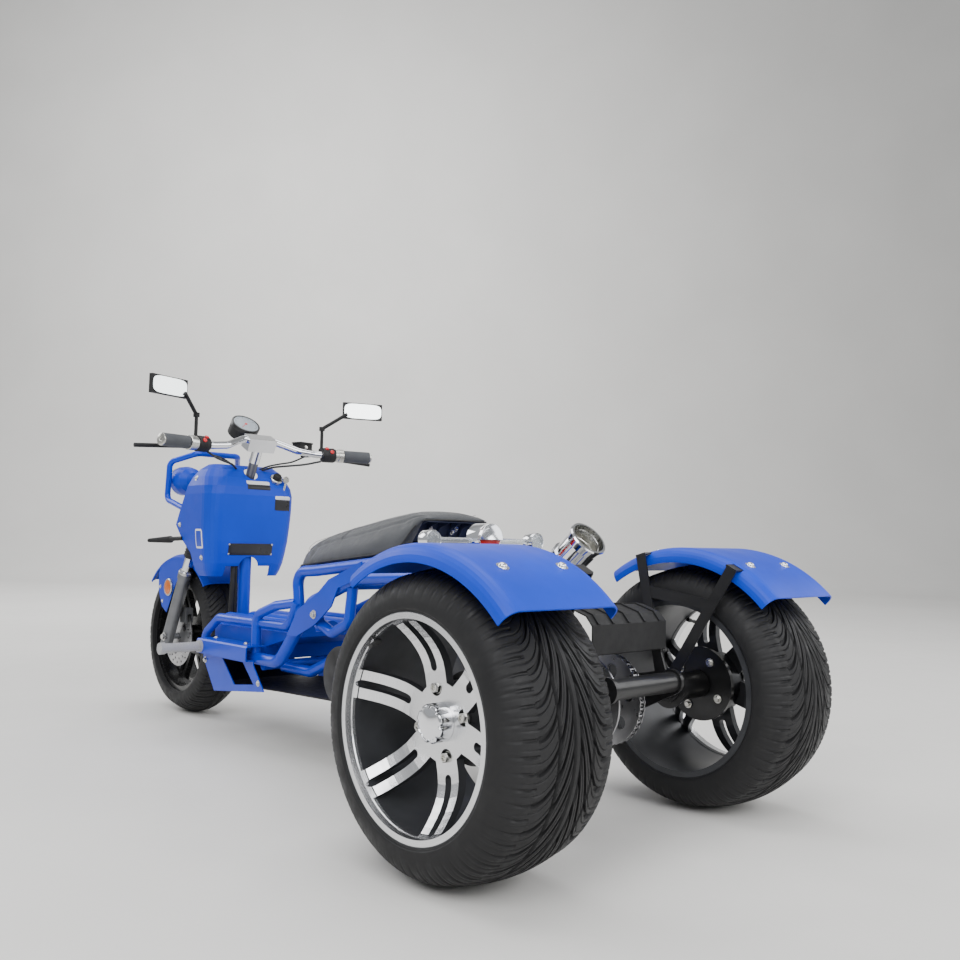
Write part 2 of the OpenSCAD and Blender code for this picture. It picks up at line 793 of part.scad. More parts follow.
module fork() {
    color("silver") placed() {
        rod(on_steer(crown_z - 8), on_steer(790), stem_r);
        both_sides() {
            rod(on_leg(350, leg_y), on_leg(crown_z + 14, leg_y), leg_r);
            rod(on_leg(front_r - 28, leg_y), on_leg(430, leg_y), slider_r);
            rod(on_leg(430, leg_y), on_leg(448, leg_y), slider_r + 3);
            rod(on_leg(500, leg_y), on_leg(552, leg_y), leg_r + 2.5);
        }
        translate(on_steer(crown_z))
            rotate([0, -rake, 0])
                translate([-20, -leg_y - 22, -12])
                    cube([92, 2 * leg_y + 44, 24]);
        y_cylinder(9, -leg_y - 24, leg_y + 24, wheelbase, front_r);
    }
}

front_fender_r = 264;
// Side skirt of the front fender, from its rim down to the reflector and back to the fork leg
skirt_outline = [[1828, 382], [1834, 440], [1819.7, 462.1], [1763.7, 484.4], [1700, 492.7], [1640.1, 485.4],
    [1605.8, 474.2], [1618, 425], [1650, 402], [1703, 416], [1767, 315], [1802, 333]];

module front_fender() {
    color(paint) placed() {
        translate([wheelbase, 0, front_r])
            rotate([-90, -42, 0])
                rotate_extrude(angle = -96, $fn = 96)
                    polygon([[246, -77], [252, -77], [261, -60], [front_fender_r, -36], [front_fender_r, 36],
                        [261, 60], [252, 77], [246, 77], [246, 74], [250.5, 74], [258.2, 59],
                        [front_fender_r - 3, 35], [front_fender_r - 3, -35], [258.2, -59], [250.5, -74],
                        [246, -74]]);
        both_sides() difference() {
            side_plate_shape(74.6, 76.4) polygon(skirt_outline);
            rod(on_leg(front_r - 28, leg_y), on_leg(429, leg_y), slider_r + 0.2);
            rod(on_leg(428, leg_y), on_leg(449, leg_y), slider_r + 3.2);
        }
    }
}

module front_caliper() {
    color("silver") placed() difference() {
        translate([1630, 50, 290]) cube([40, 23.7, 46]);
        y_cylinder(disc_r + 6, 55, 69, wheelbase, front_r);
    }
}

// Blade-shaped turn signals on the front edges of the fairing
module front_signals() {
    color(black_coat) placed() both_sides() difference() {
        union() {
            rod([1533, 141.2, 556], [1598, 156, 553], 6.5);
            hull() {
                translate([1594, 152, 552]) sphere(r = 11, $fn = 20);
                translate([1640, 199, 548]) sphere(r = 6, $fn = 20);
            }
        }
        fairing_shell();
    }
}

bar_path = [[1345, 52, 856], [1310, 120, 830], [1299, 174, 824], [1255, bar_half_w, 823]];
function on_bar(y) = bar_path[3] + (bar_path[2] - bar_path[3]) * (bar_half_w - y) / (bar_half_w - bar_path[2].y);

module handlebar() {
    color("silver") placed() {
        bent_tube(across(bar_path), bar_r, 30);
        rod(on_steer(790.4), on_steer(842), 16);
        translate(riser_mid) rotate([0, -rake, 0]) cube([riser_len, 90, 40], center = true);
    }
}

module grips() {
    color("#55585c") placed() both_sides() difference() {
        rod(on_bar(236), on_bar(bar_half_w + 6), 17);
        rod(on_bar(200), on_bar(bar_half_w + 0.3), bar_r + seat_gap);
    }
}

module hand_controls() {
    color(black_coat) placed() both_sides() {
        difference() {
            rod(on_bar(194), on_bar(233), 21);
            rod(on_bar(180), on_bar(250), bar_r + seat_gap);
        }
        bent_tube([on_bar(214) + [14, 0, -6], on_bar(236) + [40, 0, -6], on_bar(394) + [78, 0, -15]], 6, 20);
    }
}

mirror_pivot = [1326, 213, 910];
mirror_mid = [1262, 324, 972];

module mirrors() {
    color("#2a2c30") placed() both_sides() {
        rod([mirror_pivot.x, mirror_pivot.y, 842], mirror_pivot + [0, 0, 4], 5);
        difference() {
            rod(on_bar(213) + [12, 0, 4], [mirror_pivot.x + 4, mirror_pivot.y, 844], 8);
            rod(on_bar(194), on_bar(233), 21.2);
        }
        rod(mirror_pivot - [0, 0, 6], mirror_pivot + [0, 0, 6], 9);
        rod(mirror_pivot, mirror_mid + [14, -50, -12], 5.5);
        translate(mirror_mid)
            rotate([0, 0, 19])
                translate([0, -64, -26])
                    cube([12, 128, 52]);
    }
}

riser_mid = on_steer(846);
riser_dir = [cos(rake), 0, sin(rake)];
riser_len = 44;

module speedometer() {
    color(black_coat) placed() {
        translate([1425, 0, 913])
            rotate([0, -40, 0])
                translate([0, 0, -42])
                    cylinder(r = 44, h = 42);
        rod(riser_mid + riser_dir * riser_len / 2, riser_mid + riser_dir * 94, 9);
    }
}

// Front wheel

module wheel_rim(bead_r, rim_w, flange_h, wall) {
    y_revolve(0, 0, 0)
        polygon([[bead_r - wall, -rim_w / 2 - 8], [bead_r + flange_h, -rim_w / 2 - 8],
            [bead_r + flange_h, -rim_w / 2], [bead_r - seat_gap, -rim_w / 2],
            [bead_r - seat_gap, rim_w / 2], [bead_r + flange_h, rim_w / 2],
            [bead_r + flange_h, rim_w / 2 + 8], [bead_r - wall, rim_w / 2 + 8]]);
}

module front_rim() {
    color(black_coat) translate([wheelbase - mid_x, 0, front_r]) {
        wheel_rim(front_bead_d / 2, front_rim_w, 8, 8);
        difference() {
            y_cylinder(front_bead_d / 2 - 4, -9, 9);
            spoke_cuts(0, 60, front_bead_d / 2 - 16, 16, 20, 74, 146, 6);
            y_cylinder(20, -40, 40);
        }
        difference() {
            y_cylinder(34, -44, 44);
            y_cylinder(9.8, -50, 50);
        }
    }
}

// Window between two twin spokes: its sides run along the spokes, half1 and half2 away from them
module spoke_window(r1, r2, half1, half2) {
    a1 = 180 / spokes - asin(half1 / r1);
    a2 = 180 / spokes - asin(half2 / r2);
    rotate([90, 0, 0])
        linear_extrude(height = 300, center = true)
            polygon(concat(
                [for (i = [-4 : 4]) r2 * [cos(a2 * i / 4), sin(a2 * i / 4)]],
                [for (i = [4 : -1 : -4]) r1 * [cos(a1 * i / 4), sin(a1 * i / 4)]]));
}

// Slot between the two bars of a twin spoke
module spoke_slot(r1, r2, half) {
    rotate([90, 0, 0])
        linear_extrude(height = 300, center = true) {
            translate([r1 + half, -half]) square([r2 - r1 - 2 * half, 2 * half]);
            translate([r1 + half, 0]) circle(r = half);
            translate([r2 - half, 0]) circle(r = half);
        }
}

// Every spoke of a wheel: windows between them and a slot in each
module spoke_cuts(first, r1, r2, half1, half2, slot_r1, slot_r2, slot_half) {
    for (i = [0 : spokes - 1]) {
        rotate([0, -first - (i + 0.5) * 360 / spokes, 0]) spoke_window(r1, r2, half1, half2);
        rotate([0, -first - i * 360 / spokes, 0]) spoke_slot(slot_r1, slot_r2, slot_half);
    }
}

module front_tyre() {
    color("#222222") placed() y_revolve(wheelbase, 0, front_r)
        tyre_section(front_r, front_bead_d / 2, 8, front_tyre_w, 24, front_tyre_w * 0.4, front_rim_w);
}

disc_r = 95;
disc_y = 60;
disc_holes = 18;

module front_disc() {
    color("silver") placed() difference() {
        union() {
            y_cylinder(disc_r, disc_y, disc_y + 4, wheelbase, front_r);
            y_cylinder(32, 44.3, disc_y + 4, wheelbase, front_r);
        }
        y_cylinder(11, 40, 70, wheelbase, front_r);
        for (i = [0 : disc_holes - 1])
            for (ring = [[72, 0], [84, 0.5]])
                let (a = 360 * (i + ring[1]) / disc_holes)
                    y_cylinder(3.6, disc_y - 1, disc_y + 5, wheelbase + ring[0] * cos(a), front_r + ring[0] * sin(a));
        for (i = [0 : 4])
            translate([wheelbase, 0, front_r])
                rotate([0, 72 * i, 0])
                    translate([49, disc_y - 1, 0])
                        rotate([-90, 0, 0])
                            cylinder(r = 12, h = 6);
    }
}

// Rear axle and wheels

module axle_shaft() {
    color(black_coat) placed() {
        y_cylinder(axle_r, -hub_face_y, hub_face_y, 0, axle_z);
        both_sides() y_cylinder(hub_flange_r, hub_face_y - 10, hub_face_y, 0, axle_z);
    }
}

brake_disc_y = 52;

// One tooth: place along the pitch, from one roller to the next, and height above the rollers' circle
tooth = [[0.26, -roller_r - 0.6], [0.38, 0], [0.44, tooth_tip], [0.56, tooth_tip], [0.62, 0],
    [0.74, -roller_r - 0.6]];

// The teeth stand between the chain's rollers
module sprocket() {
    color("#4a4f48") placed() difference() {
        union() {
            side_plate_shape(chain_y - tooth_half_w, chain_y + tooth_half_w)
                translate([0, axle_z])
                    polygon([for (i = [0 : sprocket_teeth - 1], t = tooth)
                        let (a = run_a + wrap + (i + t[0]) * 360 / sprocket_teeth, r = sprocket_r + t[1])
                        [r * cos(a), r * sin(a)]]);
            y_cylinder(34, chain_y - 20, brake_disc_y + 6, 0, axle_z);
            y_cylinder(90, brake_disc_y, brake_disc_y + 4, 0, axle_z);
        }
        y_cylinder(axle_r + 0.05, chain_y - 30, 80, 0, axle_z);
        for (i = [0 : 5])
            translate([0, 0, axle_z])
                rotate([0, 60 * i + 12, 0])
                    translate([57, chain_y - 4, 0])
                        rotate([-90, 0, 0])
                            cylinder(r = 13, h = brake_disc_y - chain_y + 10);
    }
}

rim_wall = 5;
rear_flange_h = 7;
first_spoke = 16.8;
first_lug = 75;
spoke_half_w = 26;
hub_boss_r = 66;
hub_boss_y = 48.5;
dish_t = 16;
lug_r = 14;
// The dish that the spokes are cut from: radius and how far its outer face stands outboard
dish = [[60, 48.5], [85, 48.5], [100, 50], [110, 53], [120, 57], [130, 63], [140, 70], [150, 79],
    [160, 89], [168, 98], [174, 107]];

module rear_rim(side) {
    window_r2 = rear_bead_d / 2 - rim_wall - 1;
    translate([0, side * wheel_y, axle_z])
        scale([1, side, 1]) {
            wheel_rim(rear_bead_d / 2, rear_rim_w, rear_flange_h, rim_wall);
            difference() {
                y_revolve(0, 0, 0)
                    polygon(concat(
                        [for (p = dish) [p.x, p.y - dish_t]],
                        [[rear_bead_d / 2 - 2, 107], [174, 110]],
                        [for (i = [len(dish) - 2 : -1 : 0]) dish[i]]));
                spoke_cuts(first_spoke, 66, window_r2, spoke_half_w, spoke_half_w, 84, window_r2, 7.5);
            }
            difference() {
                y_cylinder(hub_boss_r, hub_face_y - wheel_y, hub_boss_y);
                for (i = [0 : 3])
                    rotate([0, -first_lug - i * 90, 0])
                        translate([wheel_pcd / 2, 0, 0]) y_cylinder(lug_r, hub_boss_y - 6, hub_boss_y + 5);
            }
        }
}

module rear_rim_left() {
    color("silver") placed() rear_rim(1);
}

module rear_rim_right() {
    color("silver") placed() rear_rim(-1);
}

module rear_tyre(y) {
    placed() y_revolve(0, y, rear_r)
        tyre_section(rear_r, rear_bead_d / 2, rear_flange_h, rear_tyre_w, 10, rear_tyre_w * 0.31, rear_rim_w);
}

module rear_tyre_left() {
    color("#222222") rear_tyre(wheel_y);
}

module rear_tyre_right() {
    color("#222222") rear_tyre(-wheel_y);
}

module hub_caps() {
    color("silver") placed() both_sides()
        y_cylinder(33, wheel_y + hub_boss_y + 0.3, wheel_y + 80, 0, axle_z);
}

neck_tube();
cable_sleeves();
lower_frame();
frame_loops();
gusset_plates();
rear_arms();
axle_carrier();
battery_box();
foot_pegs();
side_plates();
belly_pan();
engine_block();
engine_barrel();
belt_cover();
exhaust_pipe();
exhaust_tip();
seat();
seat_base();
tail_lamp();
rear_signals();
rear_fenders();
fender_bars();
chain();
chain_guard();
shocks();
fairing();
headlamps();
lamp_bracket();
fork();
front_fender();
front_caliper();
front_signals();
handlebar();
grips();
hand_controls();
mirrors();
speedometer();
front_rim();
front_tyre();
front_disc();
axle_shaft();
sprocket();
rear_rim_left();
rear_rim_right();
rear_tyre_left();
rear_tyre_right();
hub_caps();
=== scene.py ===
"""Dresses the motor trike: finishes on every solid, the padded seat, treaded tyres, trim and fittings.

Lengths are metres. X points forward, Y to the left and Z up, with the origin on the floor at the middle.
Places measured from the point below the rear axle are moved back by MID_X, as the solids are.
"""

import math

import bmesh
import bpy
import numpy as np
from bpy.props import FloatProperty, FloatVectorProperty, IntProperty, PointerProperty
from mathutils import Matrix, Vector


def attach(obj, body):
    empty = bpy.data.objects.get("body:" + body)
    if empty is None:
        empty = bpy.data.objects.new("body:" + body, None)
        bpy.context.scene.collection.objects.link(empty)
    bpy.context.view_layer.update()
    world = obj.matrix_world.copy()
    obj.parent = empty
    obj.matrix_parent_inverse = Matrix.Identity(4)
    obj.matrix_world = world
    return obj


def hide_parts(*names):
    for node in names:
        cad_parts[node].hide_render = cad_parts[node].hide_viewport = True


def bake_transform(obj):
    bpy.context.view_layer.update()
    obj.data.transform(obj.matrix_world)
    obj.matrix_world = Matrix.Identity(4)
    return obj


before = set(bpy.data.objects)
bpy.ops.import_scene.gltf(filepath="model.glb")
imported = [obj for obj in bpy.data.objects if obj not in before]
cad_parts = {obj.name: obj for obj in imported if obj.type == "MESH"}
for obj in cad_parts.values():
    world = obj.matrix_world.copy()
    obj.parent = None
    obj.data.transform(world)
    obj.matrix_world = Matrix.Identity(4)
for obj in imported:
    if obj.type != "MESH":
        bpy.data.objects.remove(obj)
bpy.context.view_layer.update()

bl_info = {
    "name": "Motor Trike Dresser",
    "version": (1, 0, 0),
    "blender": (4, 5, 0),
    "location": "View3D > Sidebar > Trike",
    "description": "Finishes, padding, tread and fittings for a small motor trike",
    "category": "Object",
}

# Driving dimensions, in metres. MID_X is how far the middle of the trike's length is ahead of the rear axle.
MID_X = 0.84235
REAR_AXLE = Vector((-MID_X, 0, 0.2588))
FRONT_AXLE = Vector((1.7 - MID_X, 0, 0.2435))
WHEEL_Y = 0.3605
RAKE = math.radians(27)
LEG_X = 1.708 - MID_X
LEG_Y = 0.093
SIDES = (("left", 1), ("right", -1))


def place(x, y, z):
    """A point given in millimetres from the floor below the rear axle."""
    return Vector((x / 1000 - MID_X, y / 1000, z / 1000))


def on_leg(z, side):
    """The point of a fork leg's middle line at height z."""
    return Vector((LEG_X - (z - FRONT_AXLE.z) * math.tan(RAKE), side * LEG_Y, z))


BAR_END = Vector((1.255 - MID_X, 0.338, 0.823))
BAR_BEND = Vector((1.299 - MID_X, 0.174, 0.824))


def on_bar(y, side):
    """The point of the handlebar's outer stretch at distance y from the middle."""
    p = BAR_END.lerp(BAR_BEND, (BAR_END.y - y) / (BAR_END.y - BAR_BEND.y))
    return Vector((p.x, side * p.y, p.z))


def ring_faces(rings, count):
    """Faces of a closed skin over rings of points, with both ends capped."""
    faces = []
    for k in range(rings - 1):
        for i in range(count):
            n = (i + 1) % count
            faces.append((k * count + i, k * count + n, (k + 1) * count + n, (k + 1) * count + i))
    last = (rings - 1) * count
    return faces + [tuple(range(count - 1, -1, -1)), tuple(range(last, last + count))]


class Shape:
    """Points and faces of one joined piece, gathered from simple forms."""

    def __init__(self):
        self.points = []
        self.faces = []

    def add(self, points, faces):
        """Adds a form whose faces count its own points from 0."""
        start = len(self.points)
        self.points += [tuple(p) for p in points]
        self.faces += [tuple(start + i for i in face) for face in faces]

    def lathe(self, base, axis, profile, segments=32):
        """Turns a profile of (radius, distance along the axis) about an axis."""
        axis = Vector(axis).normalized()
        side = axis.orthogonal().normalized()
        up = axis.cross(side)
        rings, points, faces = [], [], []
        for radius, along in profile:
            centre = Vector(base) + axis * along
            if radius < 1e-6:
                rings.append([len(points)] * segments)
                points.append(centre)
                continue
            rings.append(list(range(len(points), len(points) + segments)))
            for i in range(segments):
                a = 2 * math.pi * i / segments
                points.append(centre + (side * math.cos(a) + up * math.sin(a)) * radius)
        for lower, upper in zip(rings, rings[1:]):
            for i in range(segments):
                k = (i + 1) % segments
                face = [lower[i], lower[k], upper[k], upper[i]]
                face = [v for n, v in enumerate(face) if v not in face[:n]]
                if len(face) > 2:
                    faces.append(face)
        self.add(points, faces)

    def tube(self, route, radius, sides=12):
        """Sweeps a round section of one radius, or one radius for each point, along a route."""
        route = [Vector(p) for p in route]
        radii = radius if isinstance(radius, (list, tuple)) else [radius] * len(route)
        points = []
        across = None
        for i, p in enumerate(route):
            ahead = (route[min(i + 1, len(route) - 1)] - route[max(i - 1, 0)]).normalized()
            across = ahead.orthogonal() if across is None else across - ahead * across.dot(ahead)
            across.normalize()
            up = ahead.cross(across)
            for k in range(sides):
                a = 2 * math.pi * k / sides
                points.append(p + (across * math.cos(a) + up * math.sin(a)) * radii[i])
        self.add(points, ring_faces(len(route), sides))

    def block(self, centre, size, turn=None):
        """A box of the given size, turned by a matrix about its centre."""
        turn = turn or Matrix.Identity(3)
        corners = [
            Vector(centre) + turn @ Vector((sx * size[0] / 2, sy * size[1] / 2, sz * size[2] / 2))
            for sx in (-1, 1) for sy in (-1, 1) for sz in (-1, 1)
        ]
        self.add(corners, [(0, 1, 3, 2), (4, 6, 7, 5), (0, 4, 5, 1), (2, 3, 7, 6), (0, 2, 6, 4), (1, 5, 7, 3)])

    def sheet(self, outline, first, second):
        """A flat plate between two copies of an outline, moved by two offsets."""
        n = len(outline)
        points = [Vector(p) + Vector(first) for p in outline] + [Vector(p) + Vector(second) for p in outline]
        faces = [tuple(range(n)), tuple(range(2 * n - 1, n - 1, -1))]
        faces += [(i, n + i, n + (i + 1) % n, (i + 1) % n) for i in range(n)]
        self.add(points, faces)

    def build(self, name, finish, body, bevel=0.0, crease_angle=40):
        """Makes the piece, gives it its finish and lets it ride on its body, where it has one."""
        mesh = bpy.data.meshes.new(name)
        mesh.from_pydata(self.points, [], self.faces)
        work = bmesh.new()
        work.from_mesh(mesh)
        bmesh.ops.recalc_face_normals(work, faces=work.faces)
        work.to_mesh(mesh)
        work.free()
        mesh.shade_smooth()
        mesh.set_sharp_from_angle(angle=math.radians(crease_angle))
        mesh.materials.append(finish)
        piece = bpy.data.objects.new(name, mesh)
        bpy.context.scene.collection.objects.link(piece)
        if bevel:
            rounding = piece.modifiers.new("rounding", "BEVEL")
            rounding.width = bevel
            rounding.segments = 2
            rounding.angle_limit = math.radians(35)
        if body:
            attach(piece, body)
        return piece


def smooth_route(points, steps=8):
    """A smooth curve through given points."""
    pts = [Vector(p) for p in points]
    pts = [pts[0] * 2 - pts[1]] + pts + [pts[-1] * 2 - pts[-2]]
    route = []
    for a, b, c, d in zip(pts, pts[1:], pts[2:], pts[3:]):
        for i in range(steps):
            t = i / steps
            route.append(0.5 * (2 * b + (c - a) * t + (2 * a - 5 * b + 4 * c - d) * t ** 2
                                + (3 * b - a - 3 * c + d) * t ** 3))
    route.append(pts[-2])
    return route


def dome_bolt(shape, spot, way, radius, washer=1.5):
    """A domed bolt head on a round washer."""
    r = radius
    shape.lathe(spot, way, [(r * washer, 0), (r * washer, r * 0.18), (r, r * 0.22), (r * 0.95, r * 0.5),
                            (r * 0.75, r * 0.78), (r * 0.4, r * 0.93), (0, r)], 20)


def hex_bolt(shape, spot, way, radius):
    """A hexagon bolt head on a round washer."""
    r = radius
    shape.lathe(spot, way, [(r * 1.45, 0), (r * 1.45, r * 0.2), (0, r * 0.22)], 20)
    shape.lathe(spot, way, [(r, r * 0.15), (r, r * 0.85), (r * 0.82, r), (0, r * 1.02)], 6)


def turned(name, finish, body, spots, segments, profile):
    """One turned form at each (place, direction), joined as one piece."""
    shape = Shape()
    for spot, way in spots:
        shape.lathe(spot, way, profile, segments)
    return shape.build(name, FINISHES[finish], body)


# Finishes

FINISHES = {}


def new_finish(name):
    """A new entry of FINISHES: its material, its shader and the coordinates that its patterns follow."""
    mat = bpy.data.materials.new(name)
    FINISHES[name] = mat
    mat.use_nodes = True
    nodes = mat.node_tree.nodes
    shader = nodes["Principled BSDF"]
    where = nodes.new("ShaderNodeTexCoord")
    return mat, shader, where


def link(mat, a, b):
    """Joins two sockets of a material."""
    mat.node_tree.links.new(a, b)


def add_noise(mat, where, scale, detail=4.0, stretch=None):
    """A noise field in object space, stretched along one axis where asked."""
    tree = mat.node_tree
    field = tree.nodes.new("ShaderNodeTexNoise")
    field.inputs["Scale"].default_value = scale
    field.inputs["Detail"].default_value = detail
    if stretch:
        mapping = tree.nodes.new("ShaderNodeMapping")
        mapping.inputs["Scale"].default_value = stretch
        link(mat, where.outputs["Object"], mapping.inputs["Vector"])
        link(mat, mapping.outputs["Vector"], field.inputs["Vector"])
    else:
        link(mat, where.outputs["Object"], field.inputs["Vector"])
    return field.outputs["Fac"]


def add_range(mat, value, low, high, start=0.3, end=0.7):
    """Spreads a value between two levels."""
    node = mat.node_tree.nodes.new("ShaderNodeMapRange")
    node.inputs["From Min"].default_value = start
    node.inputs["From Max"].default_value = end
    node.inputs["To Min"].default_value = low
    node.inputs["To Max"].default_value = high
    link(mat, value, node.inputs["Value"])
    return node.outputs["Result"]


def add_mix(mat, factor, first, second):
    """Mixes two colours, each a tuple or a socket."""
    node = mat.node_tree.nodes.new("ShaderNodeMix")
    node.data_type = "RGBA"
    link(mat, factor, node.inputs["Factor"])
    for socket, colour in ((node.inputs[6], first), (node.inputs[7], second)):
        if isinstance(colour, bpy.types.NodeSocket):
            link(mat, colour, socket)
        else:
            socket.default_value = (*colour[:3], 1.0)
    return node.outputs[2]


def add_math(mat, operation, first, second=None):
    """Works out one value from one or two others, each a number or a socket."""
    node = mat.node_tree.nodes.new("ShaderNodeMath")
    node.operation = operation
    for socket, value in zip(node.inputs, (first, second)):
        if isinstance(value, bpy.types.NodeSocket):
            link(mat, value, socket)
        elif value is not None:
            socket.default_value = value
    return node.outputs[0]


def add_bump(mat, shader, height, depth, strength=1.0, below=None):
    """Raises the surface by a height field, over an earlier bump where there is one."""
    node = mat.node_tree.nodes.new("ShaderNodeBump")
    node.inputs["Distance"].default_value = depth
    node.inputs["Strength"].default_value = strength
    link(mat, height, node.inputs["Height"])
    if below is not None:
        link(mat, below, node.inputs["Normal"])
    link(mat, node.outputs["Normal"], shader.inputs["Normal"])
    return node.outputs["Normal"]


def plain_finish(name, colour, shade, rough, metallic=0.0, grain=900.0, depth=0.00004, mottle=14.0,
                 coat=0.0, coat_rough=0.1, gloss=0.5, stretch=None):
    """A finish with mottled colour, uneven gloss and a fine grain.

    colour and shade are the two tones, and rough is the lowest and highest roughness. grain and depth set
    the fine bumps, mottle the clouds, and gloss and coat how much light the surface and its lacquer mirror.
    """
    mat, shader, where = new_finish(name)
    cloud = add_noise(mat, where, mottle, 5.0)
    link(mat, add_mix(mat, add_range(mat, cloud, 0, 1), colour, shade), shader.inputs["Base Color"])
    streak = add_noise(mat, where, mottle * 3, 6.0, stretch)
    link(mat, add_range(mat, streak, rough[0], rough[1]), shader.inputs["Roughness"])
    shader.inputs["Metallic"].default_value = metallic
    shader.inputs["Specular IOR Level"].default_value = gloss
    shader.inputs["Coat Weight"].default_value = coat
    shader.inputs["Coat Roughness"].default_value = coat_rough
    add_bump(mat, shader, add_noise(mat, where, grain, 3.0, stretch), depth)
    return mat


def lens_finish(name, colour, rough=0.08, see_through=0.85):
    """Clear or tinted plastic with fine moulded ribs."""
    mat, shader, where = new_finish(name)
    ribs = mat.node_tree.nodes.new("ShaderNodeTexWave")
    ribs.inputs["Scale"].default_value = 90
    ribs.bands_direction = "Y"
    link(mat, where.outputs["Object"], ribs.inputs["Vector"])
    cloud = add_noise(mat, where, 40)
    deep = tuple(c * 0.8 for c in colour)
    link(mat, add_mix(mat, add_range(mat, cloud, 0, 1), colour, deep), shader.inputs["Base Color"])
    shader.inputs["Roughness"].default_value = rough
    shader.inputs["Transmission Weight"].default_value = see_through
    shader.inputs["IOR"].default_value = 1.49
    add_bump(mat, shader, ribs.outputs["Fac"], 0.0004, 0.6)
    return mat


# The rear wheels' bright lip: how far out it starts along the axle, and its outer radius
LIP_Y = 0.4605
LIP_RADIUS = 0.183


def wheel_finish(name, face, pocket):
    """Machined metal on the outward faces of a wheel and dark paint in its pockets and barrel."""
    mat, shader, where = new_finish(name)
    tree = mat.node_tree
    facing = tree.nodes.new("ShaderNodeSeparateXYZ")
    link(mat, where.outputs["Normal"], facing.inputs[0])
    spot = tree.nodes.new("ShaderNodeSeparateXYZ")
    link(mat, where.outputs["Object"], spot.inputs[0])
    outboard = add_math(mat, "MULTIPLY", facing.outputs["Y"], add_math(mat, "SIGN", spot.outputs["Y"]))
    dx = add_math(mat, "ADD", spot.outputs["X"], -REAR_AXLE.x)
    dz = add_math(mat, "ADD", spot.outputs["Z"], -REAR_AXLE.z)
    radius = add_math(mat, "SQRT", add_math(mat, "ADD", add_math(mat, "MULTIPLY", dx, dx),
                                            add_math(mat, "MULTIPLY", dz, dz)))
    lip = add_math(mat, "GREATER_THAN", add_math(mat, "ABSOLUTE", spot.outputs["Y"]), LIP_Y)
    face_or_lip = add_math(mat, "MAXIMUM", add_math(mat, "GREATER_THAN", outboard, 0.5), lip)
    cut = add_math(mat, "MULTIPLY", face_or_lip, add_math(mat, "LESS_THAN", radius, LIP_RADIUS))
    rings = tree.nodes.new("ShaderNodeTexNoise")
    rings.noise_dimensions = "1D"
    rings.inputs["Scale"].default_value = 900
    rings.inputs["Detail"].default_value = 2
    link(mat, radius, rings.inputs["W"])
    cloud = add_noise(mat, where, 20)
    bright = add_mix(mat, add_range(mat, rings.outputs["Fac"], 0, 1), face, tuple(c * 0.86 for c in face))
    dark = add_mix(mat, add_range(mat, cloud, 0, 1), pocket, tuple(c * 0.7 for c in pocket))
    link(mat, add_mix(mat, cut, dark, bright), shader.inputs["Base Color"])
    link(mat, add_range(mat, cut, 0.42, 0.27, 0, 1), shader.inputs["Roughness"])
    link(mat, add_range(mat, cut, 0.35, 1.0, 0, 1), shader.inputs["Metallic"])
    add_bump(mat, shader, add_math(mat, "MULTIPLY", rings.outputs["Fac"], cut), 0.00006)
    return mat


def leather_finish(name, colour, shade):
    """Seat vinyl with a pebbled grain and faint creases."""
    mat, shader, where = new_finish(name)
    tree = mat.node_tree
    cloud = add_noise(mat, where, 9, 5)
    link(mat, add_mix(mat, add_range(mat, cloud, 0, 1), colour, shade), shader.inputs["Base Color"])
    link(mat, add_range(mat, add_noise(mat, where, 30, 5), 0.42, 0.6), shader.inputs["Roughness"])
    shader.inputs["Sheen Weight"].default_value = 0.12
    cells = tree.nodes.new("ShaderNodeTexVoronoi")
    cells.feature = "DISTANCE_TO_EDGE"
    cells.inputs["Scale"].default_value = 620
    link(mat, where.outputs["Object"], cells.inputs["Vector"])
    fine = add_bump(mat, shader, add_range(mat, cells.outputs["Distance"], 0, 1, 0, 0.3), 0.00025, 0.7)
    add_bump(mat, shader, add_noise(mat, where, 60, 6), 0.0006, 0.5, fine)
    return mat


def knurled_finish(name, colour, scale, depth):
    """Metal or rubber with a crossed knurl, and painted shade in its grooves."""
    mat, shader, where = new_finish(name)
    tree = mat.node_tree
    heights = []
    for turn in (0.7, -0.7):
        wave = tree.nodes.new("ShaderNodeTexWave")
        wave.inputs["Scale"].default_value = scale
        mapping = tree.nodes.new("ShaderNodeMapping")
        mapping.inputs["Rotation"].default_value = (turn, 0, 0.6)
        link(mat, where.outputs["Object"], mapping.inputs["Vector"])
        link(mat, mapping.outputs["Vector"], wave.inputs["Vector"])
        heights.append(wave.outputs["Fac"])
    both = add_math(mat, "MINIMUM", heights[0], heights[1])
    # Painted shade: the colour falls to 0.6 of itself in the knurl's grooves, where both waves are low.
    link(mat, add_mix(mat, both, tuple(c * 0.6 for c in colour), colour), shader.inputs["Base Color"])
    shader.inputs["Metallic"].default_value = 0.9
    link(mat, add_range(mat, both, 0.5, 0.3, 0, 1), shader.inputs["Roughness"])
    add_bump(mat, shader, both, depth)
    return mat


def tyre_finish(name, colour, shade):
    """Rubber with cloudy tone, duller and dustier patches, and a fine moulded grain."""
    mat, shader, where = new_finish(name)
    cloud = add_noise(mat, where, 7, 6)
    dust = add_noise(mat, where, 55, 6)
    tone = add_mix(mat, add_range(mat, cloud, 0, 1), colour, shade)
    dusty = add_mix(mat, add_range(mat, dust, 0, 0.25, 0.52, 0.75), tone, (0.032, 0.031, 0.03))
    shader.inputs["Specular IOR Level"].default_value = 0.25
    link(mat, dusty, shader.inputs["Base Color"])
    link(mat, add_range(mat, dust, 0.42, 0.66), shader.inputs["Roughness"])
    add_bump(mat, shader, add_noise(mat, where, 700, 3), 0.00008, 0.5)
    return mat


